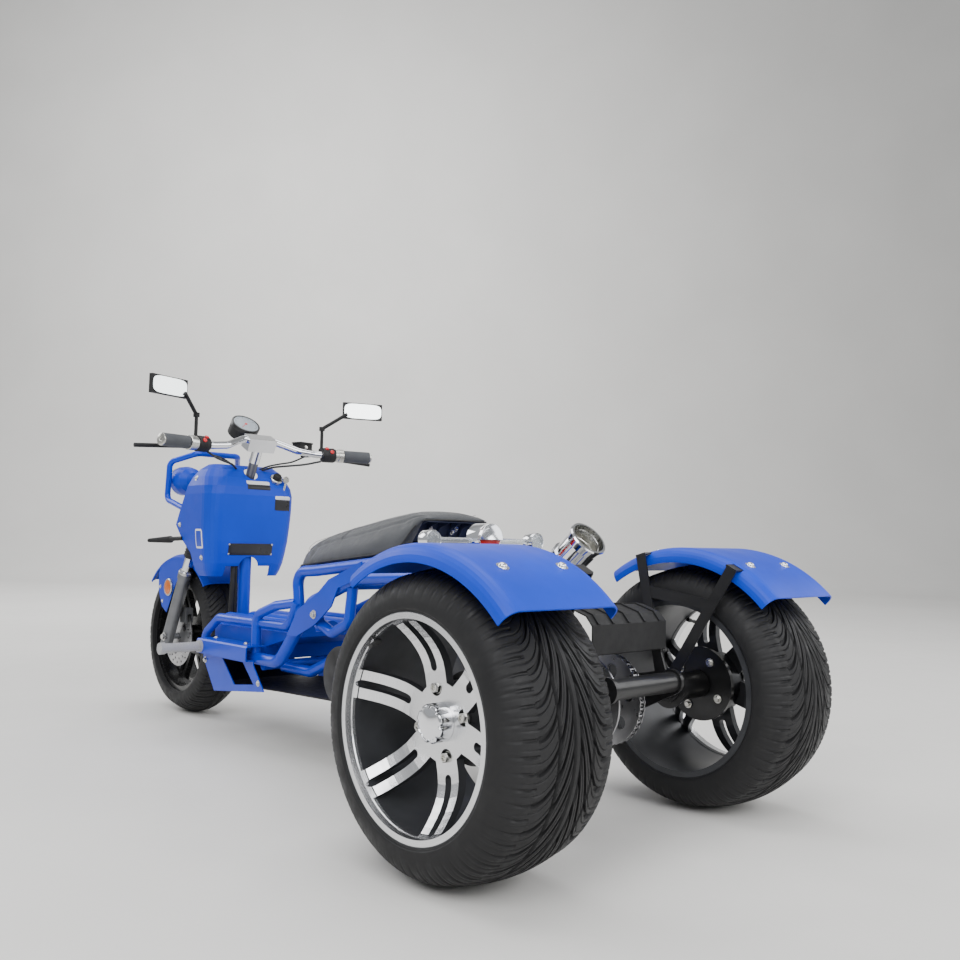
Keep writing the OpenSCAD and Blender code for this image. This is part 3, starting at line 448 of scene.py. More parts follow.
def make_finishes(colours):
    """Every finish of the trike, by name."""
    blue = tuple(colours.paint)
    deep = tuple(c * 0.82 for c in blue)
    black = tuple(colours.black)
    dull = tuple(c * 0.6 for c in black)
    plain_finish("blue_paint", blue, deep, (0.28, 0.4), 0.1, 500, 0.00003, 6, coat=0.12, gloss=0.35)
    plain_finish("blue_plastic", blue, deep, (0.4, 0.52), 0.0, 1500, 0.00002, 5, coat=0.05,
                 coat_rough=0.3, gloss=0.28)
    plain_finish("black_coat", black, dull, (0.3, 0.45), 0.2, 700, 0.00005, 12, coat=0.2)
    plain_finish("black_plastic", black, dull, (0.5, 0.66), 0.0, 1300, 0.0001, 20, gloss=0.35)
    plain_finish("engine_black", black, (0.055, 0.055, 0.06), (0.45, 0.65), 0.4, 420, 0.0002, 16)
    plain_finish("cast_alloy", (0.5, 0.51, 0.53), (0.38, 0.39, 0.41), (0.34, 0.5), 0.9, 520, 0.00012)
    plain_finish("fork_alloy", (0.2, 0.205, 0.215), (0.14, 0.145, 0.155), (0.36, 0.5), 0.8, 520, 0.0001)
    plain_finish("chrome", (0.82, 0.83, 0.85), (0.76, 0.77, 0.8), (0.05, 0.1), 1.0, 60, 0.00002)
    plain_finish("steel", (0.46, 0.46, 0.47), (0.3, 0.3, 0.31), (0.24, 0.42), 1.0, 600, 0.00005,
                 stretch=(1, 8, 1))
    plain_finish("zinc", (0.62, 0.62, 0.6), (0.5, 0.49, 0.45), (0.22, 0.36), 1.0, 400, 0.00004)
    plain_finish("rubber", (0.02, 0.02, 0.021), (0.03, 0.03, 0.03), (0.55, 0.75), 0.0, 800, 0.0001)
    plain_finish("grip", (0.1, 0.105, 0.115), (0.075, 0.08, 0.09), (0.5, 0.66), 0.0, 900, 0.0001)
    plain_finish("navy", (0.012, 0.02, 0.06), (0.01, 0.014, 0.035), (0.5, 0.65), 0.0, 700, 0.0001)
    plain_finish("red_plastic", (0.62, 0.012, 0.02), (0.5, 0.01, 0.015), (0.2, 0.32), 0.0, 500)
    plain_finish("plate_black", (0.018, 0.018, 0.02), (0.03, 0.03, 0.033), (0.25, 0.4), 0.3, 900)
    plain_finish("label_pale", (0.75, 0.76, 0.78), (0.66, 0.67, 0.7), (0.3, 0.42), 0.0, 700, 0.00002)
    plain_finish("dial", (0.45, 0.5, 0.55), (0.36, 0.4, 0.45), (0.12, 0.2), 0.2, 300, coat=1.0,
                 coat_rough=0.03)
    plain_finish("mirror", (0.86, 0.9, 0.9), (0.82, 0.87, 0.87), (0.02, 0.03), 1.0, 20, 0.000001)
    lens_finish("orange_lens", (0.95, 0.22, 0.02), 0.12, 0.35)
    lens_finish("red_lens", (0.6, 0.01, 0.012), 0.08, 0.4)
    lens_finish("clear_lens", (0.86, 0.9, 0.92), 0.06, 0.8)
    wheel_finish("wheel_face", (0.8, 0.805, 0.82), (0.05, 0.052, 0.058))
    plain_finish("black_alloy", black, dull, (0.2, 0.34), 0.5, 400, 0.00004, 10, coat=0.4)
    leather_finish("vinyl", tuple(colours.seat), tuple(c * 0.75 for c in colours.seat))
    knurled_finish("knurl", (0.6, 0.6, 0.61), 260, 0.0006)
    tyre_finish("tyre", (0.009, 0.009, 0.01), (0.015, 0.015, 0.016))


# Which finish each solid wears
NODE_FINISHES = {
    "blue_paint": ["neck_tube", "lower_frame", "frame_loops", "gusset_plates", "rear_arms", "side_plates",
                   "shocks", "lamp_bracket"],
    "blue_plastic": ["battery_box", "rear_fenders", "fairing", "headlamps", "front_fender"],
    "black_coat": ["axle_carrier", "fender_bars", "exhaust_pipe", "axle_shaft"],
    "black_plastic": ["belly_pan", "seat_base", "chain_guard", "front_signals", "speedometer", "hand_controls",
                      "cable_sleeves", "mirrors"],
    "engine_black": ["engine_block", "belt_cover"],
    "cast_alloy": ["engine_barrel"],
    "fork_alloy": ["front_caliper", "fork"],
    "chrome": ["exhaust_tip", "handlebar", "hub_caps"],
    "knurl": ["foot_pegs"],
    "steel": ["chain", "sprocket", "front_disc"],
    "grip": ["grips"],
    "red_lens": ["tail_lamp"],
    "clear_lens": ["rear_signals"],
    "wheel_face": ["rear_rim_left", "rear_rim_right"],
    "black_alloy": ["front_rim"],
    "tyre": ["rear_tyre_left", "rear_tyre_right", "front_tyre"],
    "vinyl": ["seat"],
}


def dress_solids():
    """Gives every solid its finish."""
    for finish, names in NODE_FINISHES.items():
        for name in names:
            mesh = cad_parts[name].data
            mesh.materials.clear()
            mesh.materials.append(FINISHES[finish])


# Seat

# Rows from nose to tail, in millimetres from below the rear axle: x, half width, underside and top
SEAT_ROWS = [
    (984, 34, 487, 497), (970, 64, 486, 516), (950, 88, 487, 533), (920, 104, 490, 551),
    (880, 115, 493, 565), (840, 120, 497, 573), (780, 124, 503, 585), (700, 127, 511, 599),
    (620, 128, 519, 613), (560, 127, 525, 623), (510, 123, 531, 631), (484, 118, 552, 633),
    (462, 112, 580, 632), (442, 104, 601, 628), (426, 97, 608, 617),
]
HOLLOW = [(400, 470), (400, 603), (446, 608), (470, 609), (500, 560), (500, 470)]
HOLLOW_HALF = 88
SEAT_RING = 40
SEAT_SQUARENESS = 0.62
VOXEL = 0.005
CLOTH_FRAMES = 20
# How much of the swell the foam starts short of the cover by
SHRINK_SHARE = 0.8
# Held in the simulation: what points down more than this, and the hollow up to this x, half width and height
UNDERSIDE = -0.5
HOLLOW_HELD = (0.502, 0.09, 0.611)


def rounded(value, power):
    """A cosine or sine raised to a power with its sign kept, for outlines between an oval and a rectangle."""
    return math.copysign(abs(value) ** power, value)


def seat_at(x):
    """Half width, underside and top of the seat at x, between the rows."""
    rows = SEAT_ROWS[::-1]
    xs = [row[0] for row in rows]
    return [float(np.interp(x, xs, [row[k] for row in rows])) for k in (1, 2, 3)]


def seat_top(x, y):
    """Height of the upholstery at a place, in millimetres."""
    half, low, high = seat_at(x)
    c = min(0.999, abs(y) / half) ** (1 / SEAT_SQUARENESS)
    return low + (high - low) * (1 - c * c) ** (SEAT_SQUARENESS / 2)


def seat_core(shrink):
    """The foam under the cover: the seat's form, a little smaller, with its hollow cut out."""
    shape = Shape()
    count = SEAT_RING
    points = []
    for x, half, low, high in SEAT_ROWS:
        x += shrink * ((x < 450) - (x > 960))
        for i in range(count):
            a = 2 * math.pi * i / count
            c, s = math.cos(a), math.sin(a)
            y = (half - shrink) * rounded(c, SEAT_SQUARENESS)
            z = low + max(4, high - low - shrink) * max(0.0, s) ** SEAT_SQUARENESS
            points.append(place(x, y, z))
    rows = len(SEAT_ROWS)
    shape.add(points, ring_faces(rows, count))
    core = shape.build("seat_cushion", FINISHES["vinyl"], "frame")
    cutter = Shape()
    cutter.sheet([place(x, 0, z) for x, z in HOLLOW], (0, -HOLLOW_HALF / 1000, 0), (0, HOLLOW_HALF / 1000, 0))
    block = cutter.build("seat_hollow_cutter", FINISHES["vinyl"], "frame")
    cut = core.modifiers.new("hollow", "BOOLEAN")
    cut.object = block
    cut.solver = "EXACT"
    remesh = core.modifiers.new("even", "REMESH")
    remesh.mode = "VOXEL"
    remesh.voxel_size = VOXEL
    apply_modifiers(core)
    bpy.data.objects.remove(block)
    return core


def apply_modifiers(piece):
    """Makes a piece's modifiers part of its mesh."""
    shown = piece.evaluated_get(bpy.context.evaluated_depsgraph_get())
    mesh = bpy.data.meshes.new_from_object(shown)
    piece.modifiers.clear()
    piece.data = mesh


def mesh_points(mesh):
    """A mesh's points as rows of an array."""
    points = np.empty(len(mesh.vertices) * 3)
    mesh.vertices.foreach_get("co", points)
    return points.reshape(-1, 3)


def mesh_normals(mesh):
    """The directions of a mesh's points as rows of an array."""
    normals = np.empty(len(mesh.vertices) * 3)
    mesh.vertices.foreach_get("normal", normals)
    return normals.reshape(-1, 3)


def puff(piece, held, pressure, frames, limit):
    """Swells a closed padded form by cloth simulation and keeps the result.

    No point moves past the limit, and the held points stay.
    """
    before = mesh_points(piece.data)
    group = piece.vertex_groups.new(name="held")
    group.add([int(i) for i in np.flatnonzero(held)], 1.0, "ADD")
    cloth = piece.modifiers.new("puff", "CLOTH")
    cloth.settings.use_pressure = True
    cloth.settings.uniform_pressure_force = pressure
    cloth.settings.effector_weights.gravity = 0
    cloth.settings.vertex_group_mass = group.name
    cloth.point_cache.frame_end = frames
    for f in range(1, frames + 1):
        bpy.context.scene.frame_set(f)
    shown = piece.evaluated_get(bpy.context.evaluated_depsgraph_get())
    move = mesh_points(shown.data) - before
    length = np.linalg.norm(move, axis=1, keepdims=True)
    move *= np.minimum(1, limit / np.maximum(length, 1e-9))
    piece.modifiers.clear()
    piece.vertex_groups.clear()
    bpy.context.scene.frame_set(1)
    piece.data.vertices.foreach_set("co", (before + move).ravel())
    piece.data.update()


SEAM_SHARE = 0.8
SEAM_WIDTH = 2.6
SIDE_SEAM_X = (445, 955)
CROSS_SEAMS = (738, 905)
CROSS_SEAM_BEND = 0.0009


def sew_seat(piece, depth, width):
    """Presses the seams into the cover, one along each side and two across, and ripples it beside them."""
    points = mesh_points(piece.data)
    normals = mesh_normals(piece.data)
    x = (points[:, 0] + MID_X) * 1000
    y = points[:, 1] * 1000
    rows = SEAT_ROWS[::-1]
    half = np.interp(x, [row[0] for row in rows], [row[1] for row in rows])
    above = normals[:, 2] > 0.15
    press = np.zeros(len(points))
    from_side = np.abs(y) - SEAM_SHARE * half
    seams = [(from_side, (x < SIDE_SEAM_X[1]) & (x > SIDE_SEAM_X[0]))]
    seams += [(x - seam - CROSS_SEAM_BEND * y * y, from_side < 0) for seam in CROSS_SEAMS]
    for distance, shown in seams:
        groove = np.exp(-(distance / width) ** 2)
        groove -= 0.35 * np.exp(-((np.abs(distance) - 2.6 * width) / width) ** 2)
        press += groove * shown * above
    ripple = 0.35 * np.sin(x / 9 + np.sin(y / 14) * 2) * np.exp(-(from_side / 9) ** 2)
    points -= normals * ((press * depth + ripple * above) / 1000)[:, None]
    piece.data.vertices.foreach_set("co", points.ravel())
    piece.data.update()


class SeatSizes(bpy.types.PropertyGroup):
    """Sizes of the seat's padding and seams"""

    pressure: FloatProperty(name="Pressure", description="Air pressure that swells the padding", default=4.0,
                            min=0, max=20)
    swell: FloatProperty(name="Swell", description="The most that the padding swells", default=0.006,
                         min=0.001, max=0.02, unit="LENGTH")
    seam_depth: FloatProperty(name="Seam depth", description="Depth of the sewn seams", default=0.0022,
                              min=0, max=0.006, unit="LENGTH")


STITCH_PITCH, STITCH_LENGTH, STITCH_RADIUS = 7, 4.6, 0.00055
STITCH_FROM_SEAM = 4.2
HEM_RADIUS = 0.0022
TAIL_HALF = 96
# Lining below the seat's tail by (x, z): its roof, and the outline of the ribs that cross it
LINING = ((430, 603.4), (446, 606.6), (469, 607.6), (499, 559), (499, 534))
LINING_THICK = 1.2
LINING_RIB = ((432, 603), (446, 606), (468, 607), (498, 559), (498, 540), (470, 590), (448, 597))
RIB_Y = (0.018, 0.052)
SEAT_BOLTS = ((480, 40, 588), (484, 32, 581))


def seat_cushion(sizes):
    """The padded, sewn cushion that stands for the solid seat."""
    seat = seat_core(sizes.swell * 1000 * SHRINK_SHARE)
    points = mesh_points(seat.data)
    normals = mesh_normals(seat.data)
    back, half, top = HOLLOW_HELD
    inside = (points[:, 0] < back - MID_X) & (np.abs(points[:, 1]) < half) & (points[:, 2] < top)
    puff(seat, (normals[:, 2] < UNDERSIDE) | inside, sizes.pressure, CLOTH_FRAMES, sizes.swell)
    rounding = seat.modifiers.new("rounding", "SUBSURF")
    rounding.levels = rounding.render_levels = 1
    apply_modifiers(seat)
    sew_seat(seat, sizes.seam_depth * 1000, SEAM_WIDTH)
    seat.data.shade_smooth()
    if not seat.data.materials:
        seat.data.materials.append(FINISHES["vinyl"])
    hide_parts("seat")


def seat_stitches():
    """A row of stitches inside each long seam."""
    stitches = Shape()
    for _, sign in SIDES:
        for x in range(462, 950, STITCH_PITCH):
            ends = []
            for end in (x, x + STITCH_LENGTH):
                y = sign * (SEAM_SHARE * seat_at(end)[0] - STITCH_FROM_SEAM)
                ends.append(place(end, y, seat_top(end, y) - 0.9))
            stitches.tube(ends, STITCH_RADIUS, 5)
    stitches.build("seat_stitches", FINISHES["grip"], "frame")


def seat_hem():
    """The welt along the cover's lower edge and round its tail."""
    welt = Shape()
    for _, sign in SIDES:
        edge = [place(x, sign * (seat_at(x)[0] - 1.5), seat_at(x)[1] + 2.0) for x in range(450, 978, 6)]
        welt.tube(smooth_route(edge, 2), HEM_RADIUS, 8)
    tail = []
    for y in range(-TAIL_HALF, TAIL_HALF + 1, 8):
        bow = 1 - (y / TAIL_HALF) ** 2
        tail.append(place(436 - 5 * bow, y, 606 + 2 * bow))
    welt.tube(tail, HEM_RADIUS, 8)
    welt.build("seat_hem", FINISHES["rubber"], "frame")


def seat_pan():
    """The ribbed lining of the hollow below the tail, and its four bolts."""
    liner, bolts = Shape(), Shape()
    wall = (HOLLOW_HALF - 0.6) / 1000
    for (x1, z1), (x2, z2) in zip(LINING, LINING[1:]):
        corners = [place(x1, 0, z1), place(x2, 0, z2), place(x2, 0, z2 - LINING_THICK),
                   place(x1, 0, z1 - LINING_THICK)]
        liner.sheet(corners, (0, -wall, 0), (0, wall, 0))
    rib = [place(x, 0, z) for x, z in LINING_RIB]
    for y in (*RIB_Y, wall):
        for _, sign in SIDES:
            liner.sheet(rib, (0, sign * y - 0.0008, 0), (0, sign * y + 0.0008, 0))
    liner.build("seat_pan", FINISHES["navy"], "frame", bevel=0.0004)
    for x, y, z in SEAT_BOLTS:
        for _, sign in SIDES:
            dome_bolt(bolts, place(x, sign * y, z), (-0.85, 0, -0.5), 0.0045)
    bolts.build("seat_bolts", FINISHES["zinc"], "frame")


class TRIKE_OT_seat(bpy.types.Operator):
    """Pads the seat, sews its seams and lines the hollow below its tail"""

    bl_idname = "trike.seat"
    bl_label = "Seat"

    def execute(self, context):
        seat_cushion(context.scene.trike_seat)
        seat_stitches()
        seat_hem()
        seat_pan()
        return {"FINISHED"}


# Tyres

# Tyre section: height of the widest place as a share of the sidewall, the gap to the rim's flange, how far
# the foot stands out from the rim, and the arc of the lower sidewall in degrees
WIDEST_SHARE = 0.2
FLANGE_GAP = 0.6
BEAD_TUCK = 6
SIDEWALL_ARC = 84


def tyre_section(bead_r, flange_h, rim_half, half, outer_r, crown, tread, shares):
    """Right half of a tyre's outer section, as (radius, y): tread, shoulder and sidewall down to the rim."""
    shoulder_r = bead_r + (outer_r - crown - bead_r) * WIDEST_SHARE
    flange_r = bead_r + flange_h + FLANGE_GAP
    foot = rim_half + BEAD_TUCK
    line = [(outer_r - crown * (i / shares[0]) ** 2, tread * i / shares[0]) for i in range(shares[0] + 1)]
    for i in range(1, shares[1] + 1):
        a = math.radians(90 - 90 * i / shares[1])
        line.append((shoulder_r + (outer_r - crown - shoulder_r) * math.sin(a),
                     tread + (half - tread) * math.cos(a)))
    for i in range(1, shares[2] + 1):
        a = math.radians(SIDEWALL_ARC * i / shares[2])
        line.append((shoulder_r - (shoulder_r - flange_r) * math.sin(a), foot + (half - foot) * math.cos(a)))
    return line + [(flange_r, foot), (flange_r, rim_half + 0.4)]


def ridge(value, place_at, width):
    """1 on a raised ring round a place, falling to 0 at its edges."""
    return max(0.0, 1 - ((value - place_at) / width) ** 2)


# Rings moulded on a sidewall: height in millimetres, place from shoulder (0) to rim (1), half width
SIDEWALL_RINGS = ((0.7, 0.12, 0.02), (0.7, 0.17, 0.02), (0.9, 0.62, 0.03), (1.1, 0.9, 0.05), (-0.5, 0.4, 0.12))


def sidewall_relief(t):
    """Height of the moulded rings at a place on the sidewall."""
    return sum(height * ridge(t, place_at, width) for height, place_at, width in SIDEWALL_RINGS)


# Rear tread: two narrow grooves round the tyre, then blocks by share of the half tread. Each block row holds
# its outer share, the rows of its wide groove and their depth, and the rows of its fine cuts and their depth.
RING_GROOVES = (0.09, 0.5)
RING_HALF = 0.02
RING_DEPTH = 5.0
SHOULDER_SHARE = 0.97
SHOULDER_FADE = 0.38
REAR_BLOCKS = (
    (0.07, (), 0.0, (), 0.0),
    (0.45, range(1, 8), 5.6, (14,), 1.8),
    (SHOULDER_SHARE, range(1, 5), 5.2, (9, 18), 2.0),
    (math.inf, (2, 3, 13, 14), 4.0, (9, 18), 1.6),
)
REAR_LEAD = 3.6


def rear_skew(share):
    """How far the tread's grooves lead round the tyre, in pitches, at a share of the half tread."""
    return REAR_LEAD * (1 - (1 - min(share, 1.0)) ** 2.2)


def rear_groove(row, share, t):
    """Depth of the rear tread in millimetres, fading out over the shoulder."""
    if t > 0:
        return 0.0
    if any(abs(share - ring) < RING_HALF for ring in RING_GROOVES):
        return RING_DEPTH
    fade = min(1.0, max(0.0, 1 - (share - SHOULDER_SHARE) / SHOULDER_FADE))
    wide, depth, fine, fine_depth = next(block[1:] for block in REAR_BLOCKS if share < block[0])
    return fade * (depth if row in wide else fine_depth if row in fine else 0.0)


FRONT_LEAD = 1.4
FRONT_RIB = 0.13
FRONT_RING = 0.22
FRONT_DEPTH = 4.0
FRONT_FADE = 0.35


def front_skew(share):
    """How far the front tread's grooves lead round the tyre, in pitches."""
    return FRONT_LEAD * min(share, 1.0)


def front_groove(row, share, t):
    """Depth of the front tread in millimetres: a centre rib, then slanted blocks."""
    if t > 0 or share < FRONT_RIB:
        return 0.0
    if share < FRONT_RING:
        return FRONT_DEPTH
    fade = max(0.0, 1 - max(0.0, share - 1) / FRONT_FADE)
    fine = row == 8 and share > 0.5
    return fade * (FRONT_DEPTH if row in (2, 3) else FRONT_DEPTH / 2 if fine else 0.0)


def build_tyre(name, centre, section, pitches, rows, skew, groove, shares, body):
    """A tyre whose mesh lines run along its grooves, so that their walls stay crisp."""
    half = []
    tread, edge = shares[0], shares[0] + shares[1]
    for i, (radius, y) in enumerate(section):
        before, after = section[max(i - 1, 0)], section[min(i + 1, len(section) - 1)]
        out = Vector((after[1] - before[1], before[0] - after[0])).normalized()
        t = (i - edge) / shares[2] if edge < i <= edge + shares[2] else 0.0
        share = i / tread if i <= edge else 2.0
        half.append((radius, y, out[0], out[1], share, t))
    whole = [(r, -y, nr, -ny, s, t) for r, y, nr, ny, s, t in half[:0:-1]] + half
    count, columns = pitches * rows, len(whole)
    points = np.empty((count, columns, 3))
    turn = 2 * np.pi * np.arange(count) / count
    for c, (radius, y, out_r, out_y, share, t) in enumerate(whole):
        angles = turn + skew(share) * 2 * math.pi / pitches
        depth = np.array([groove(row, share, t) for row in range(rows)] * pitches)
        if t > 0:
            depth -= sidewall_relief(t)
        r = (radius - depth * out_r) / 1000
        points[:, c, 0] = centre.x + r * np.cos(angles)
        points[:, c, 1] = centre.y + (y - depth * out_y) / 1000
        points[:, c, 2] = centre.z + r * np.sin(angles)
    row = np.arange(count)[:, None] * columns
    after = np.roll(np.arange(count), -1)[:, None] * columns
    c = np.arange(columns)[None, :]
    right = (c + 1) % columns
    faces = np.stack([row + c, row + right, after + right, after + c], axis=-1).reshape(-1, 4)
    shape = Shape()
    shape.add(points.reshape(-1, 3), faces.tolist())
    return shape.build(name, FINISHES["tyre"], body, crease_angle=38)


# Columns of a half tyre's mesh on its tread, shoulder and sidewall
REAR_SHARES = (22, 10, 14)
FRONT_SHARES = (14, 8, 10)
# Rows of the mesh in one pitch of the tread
REAR_ROWS = 22
FRONT_ROWS = 12
# Bead radius, flange height, half rim, half width, outer radius, crown and half tread, in millimetres
REAR_TYRE = (178, 7, 112, 124, 258.8, 10, 76.9)
FRONT_TYRE = (167.5, 8, 46, 69, 243.5, 24, 55.2)


class TyreSizes(bpy.types.PropertyGroup):
    """Counts of the tread's repeats"""

    rear_pitches: IntProperty(name="Rear pitches", description="Repeats of the tread round a rear tyre",
                              default=32, min=20, max=70)
    front_pitches: IntProperty(name="Front pitches", description="Repeats of the tread round the front tyre",
                               default=44, min=30, max=60)


class TRIKE_OT_tyres(bpy.types.Operator):
    """Cuts the tread and moulds the sidewalls of the three tyres"""

    bl_idname = "trike.tyres"
    bl_label = "Tyres"

    def execute(self, context):
        sizes = context.scene.trike_tyres
        section = tyre_section(*REAR_TYRE, REAR_SHARES)
        for side, sign in SIDES:
            centre = REAR_AXLE + Vector((0, sign * WHEEL_Y, 0))
            tyre = build_tyre("rear_tread_" + side, centre, section, sizes.rear_pitches, REAR_ROWS, rear_skew,
                              rear_groove, REAR_SHARES, "rear_axle")
            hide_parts("rear_tyre_" + side)
        section = tyre_section(*FRONT_TYRE, FRONT_SHARES)
        tyre = build_tyre("front_tread", FRONT_AXLE, section, sizes.front_pitches, FRONT_ROWS, front_skew,
                          front_groove, FRONT_SHARES, "front_wheel")
        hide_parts("front_tyre")
        return {"FINISHED"}


# Wheel trim: distances along an axle are from the middle, and profiles are (radius, distance outward)

HUB_FACE = 0.4093
CAP_FLUTES = 8
FLUTE_DEPTH = 0.0042
# Centre cap: radius, distance outward and share of the flutes' depth
CAP_ROWS = (
    (0.0322, 0, 0), (0.0322, 0.003, 0), (0.0325, 0.006, 0.2), (0.0325, 0.022, 1), (0.0315, 0.0258, 1),
    (0.0285, 0.028, 0.8), (0.0265, 0.0282, 0.3), (0.0255, 0.0272, 0), (0.016, 0.0288, 0), (0.0012, 0.0304, 0),
)
LUG_ANGLES = (75, 165, 255, 345)
LUG_CIRCLE = 0.057
LUG_FLOOR = 0.403
WELL_PROFILE = [(0.0133, 0.0002), (0.0133, 0.005), (0.0122, 0.0054), (0.0112, 0.0012), (0, 0.0012)]
WASHER_PROFILE = [(0.0105, 0.001), (0.0105, 0.003), (0.0092, 0.0036)]
NUT_PROFILE = [
    (0.0088, 0.003), (0.0088, 0.0115), (0.0076, 0.0132), (0.0046, 0.0136), (0.004, 0.009), (0, 0.009),
]
FLANGE_ANGLES = (30, 120, 210, 300)
FLANGE_CIRCLE = 0.055
FLANGE_FACE = 0.3335
FLANGE_BOLT_RADIUS = 0.0065
VALVE_ANGLE = 48
VALVE_CIRCLE = 0.168
VALVE_FROM_WHEEL = 0.098
VALVE_LEAN = -0.35
VALVE_PROFILE = [
    (0.0052, -0.004), (0.0052, 0.004), (0.0036, 0.009), (0.0036, 0.014), (0.0041, 0.0145), (0.0041, 0.0215),
    (0.0015, 0.0225), (0, 0.0225),
]
FRONT_NUT_Y = 0.1115
FRONT_NUT_RADIUS = 0.009


def round_axle(radius, y, angles):
    """Places on a circle round the rear axle, at a distance y along it."""
    turns = [math.radians(angle) for angle in angles]
    return [REAR_AXLE + Vector((radius * math.cos(a), y, radius * math.sin(a))) for a in turns]


def fluted_cap(shape, base, way, profile, flutes, depth, segments=128):
    """A turned cap whose rim is scalloped: profile rows are (radius, distance, share of the flutes)."""
    side = way.orthogonal().normalized()
    up = way.cross(side)
    points = []
    for radius, along, share in profile:
        for i in range(segments):
            a = 2 * math.pi * i / segments
            r = radius - depth * share * max(0.0, math.cos(flutes * a)) ** 1.5
            points.append(base + way * along + (side * math.cos(a) + up * math.sin(a)) * r)
    shape.add(points, ring_faces(len(profile), segments))


class TRIKE_OT_wheel_trim(bpy.types.Operator):
    """Lug nuts, fluted centre caps, valve stems and the bolts on the inner flanges"""

    bl_idname = "trike.wheel_trim"
    bl_label = "Wheel trim"

    def execute(self, context):
        caps, nuts, wells, valves, bolts, front = [Shape() for _ in range(6)]
        for _, sign in SIDES:
            out = Vector((0, sign, 0))
            fluted_cap(caps, REAR_AXLE + out * HUB_FACE, out, CAP_ROWS, CAP_FLUTES, FLUTE_DEPTH)
            for spot in round_axle(LUG_CIRCLE, sign * LUG_FLOOR, LUG_ANGLES):
                wells.lathe(spot, out, WELL_PROFILE, 32)
                nuts.lathe(spot, out, WASHER_PROFILE, 32)
                nuts.lathe(spot, out, NUT_PROFILE, 6)
            for spot in round_axle(FLANGE_CIRCLE, sign * FLANGE_FACE, FLANGE_ANGLES):
                hex_bolt(bolts, spot, -out, FLANGE_BOLT_RADIUS)
            for stem in round_axle(VALVE_CIRCLE, sign * (WHEEL_Y + VALVE_FROM_WHEEL), (VALVE_ANGLE,)):
                a = math.radians(VALVE_ANGLE)
                lean = Vector((VALVE_LEAN * math.cos(a), sign, VALVE_LEAN * math.sin(a)))
                valves.lathe(stem, lean, VALVE_PROFILE, 16)
            hex_bolt(front, FRONT_AXLE + out * FRONT_NUT_Y, out, FRONT_NUT_RADIUS)
        caps = caps.build("fluted_caps", FINISHES["chrome"], "rear_axle", crease_angle=50)
        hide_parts("hub_caps")
        nuts.build("lug_nuts", FINISHES["zinc"], "rear_axle", bevel=0.0004)
        wells.build("lug_wells", FINISHES["black_coat"], "rear_axle")
        valves.build("valve_stems", FINISHES["rubber"], "rear_axle")
        bolts.build("flange_bolts", FINISHES["zinc"], "rear_axle", bevel=0.0003)
        front.build("front_axle_nuts", FINISHES["zinc"], "steering", bevel=0.0003)
        return {"FINISHED"}


# Pieces laid on a solid


def hit(node, start, way):
    """Where a ray from a point meets a solid, and the surface's direction there."""
    found, spot, normal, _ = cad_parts[node].ray_cast(Vector(start), Vector(way).normalized())
    if not found:
        raise RuntimeError("A ray missed " + node + " from " + str(tuple(start)))
    return spot, normal


def bolt_on(shape, node, start, way, radius, kind=dome_bolt):
    """A bolt head that sits on a solid where a ray meets it."""
    spot, normal = hit(node, start, way)
    if normal.dot(Vector(way)) > 0:
        normal = -normal
    kind(shape, spot - normal * 0.0004, normal, radius)


def laid_panel(shape, node, way, corner, across, along, counts, lift, bow=0.0):
    """A thin panel that follows a solid's surface, over the rectangle that two edges span from a corner.

    lift is how far its inner part stands out, and bow draws its corners in.
    """
    way = Vector(way).normalized()
    across, along = Vector(across), Vector(along)
    rows, columns = counts
    points = []
    for i in range(rows + 1):
        for j in range(columns + 1):
            u, v = i / rows, j / columns
            u, v = (0.5 + (u - 0.5) * (1 - bow * (2 * v - 1) ** 8),
                    0.5 + (v - 0.5) * (1 - bow * (2 * u - 1) ** 8))
            spot, normal = hit(node, Vector(corner) + across * u + along * v - way * 0.3, way)
            edge = i in (0, rows) or j in (0, columns)
            points.append(spot - way * (0.0 if edge else lift))
    faces = [(i * (columns + 1) + j, i * (columns + 1) + j + 1, (i + 1) * (columns + 1) + j + 1,
              (i + 1) * (columns + 1) + j) for i in range(rows) for j in range(columns)]
    shape.add(points, faces)
# Bodywork, engine and frame fittings

BACK_VIEW = Vector((1, 0, 0))
LEFT_VIEW = Vector((0, -1, 0))
RAY_START = 300

FENDER_CENTRE = (-10, 0, 240)
FENDER_BOLT_ANGLES = (74.3, 117.3)
FENDER_BOLT_Y = (0.288, 0.424)
FENDER_BOLT_RAY = 0.4
FENDER_BOLT_RADIUS = 0.0075

# Screws in the left side by (x, z) and in the left foot tray by (x, y), in millimetres
FAIRING_SCREWS = ((1546, 598), (1460, 738), (1420, 500))
SIDE_PLATE_SCREWS = ((1000, 184),)
TRAY_SCREWS = ((1089, 162), (1280, 150))
TRAY_RAY_Z = 400
FENDER_SCREWS = ((1818, 396), (1799, 350))
BODY_SCREW_RADIUS = 0.0055
FENDER_SCREW_RADIUS = 0.0042
# Hexagon bolts on the left side: place and head radius
SIDE_HEX_BOLTS = (((748, 175.2, 378), 0.0075), ((1292, 174.2, 216), 0.006))


def fender_bolts():
    """Four domed bolts in the top of each rear fender."""
    bolts = Shape()
    centre = place(*FENDER_CENTRE)
    for angle in FENDER_BOLT_ANGLES:
        a = math.radians(angle)
        out = Vector((math.cos(a), 0, math.sin(a)))
        for y in FENDER_BOLT_Y:
            for _, sign in SIDES:
                start = centre + out * FENDER_BOLT_RAY + Vector((0, sign * y, 0))
                bolt_on(bolts, "rear_fenders", start, -out, FENDER_BOLT_RADIUS)
    bolts.build("fender_bolts", FINISHES["chrome"], "frame")


def side_screws(shape, node, spots, sign, radius):
    """Screw heads on the side of a solid."""
    for x, z in spots:
        bolt_on(shape, node, place(x, sign * RAY_START, z), (0, -sign, 0), radius)


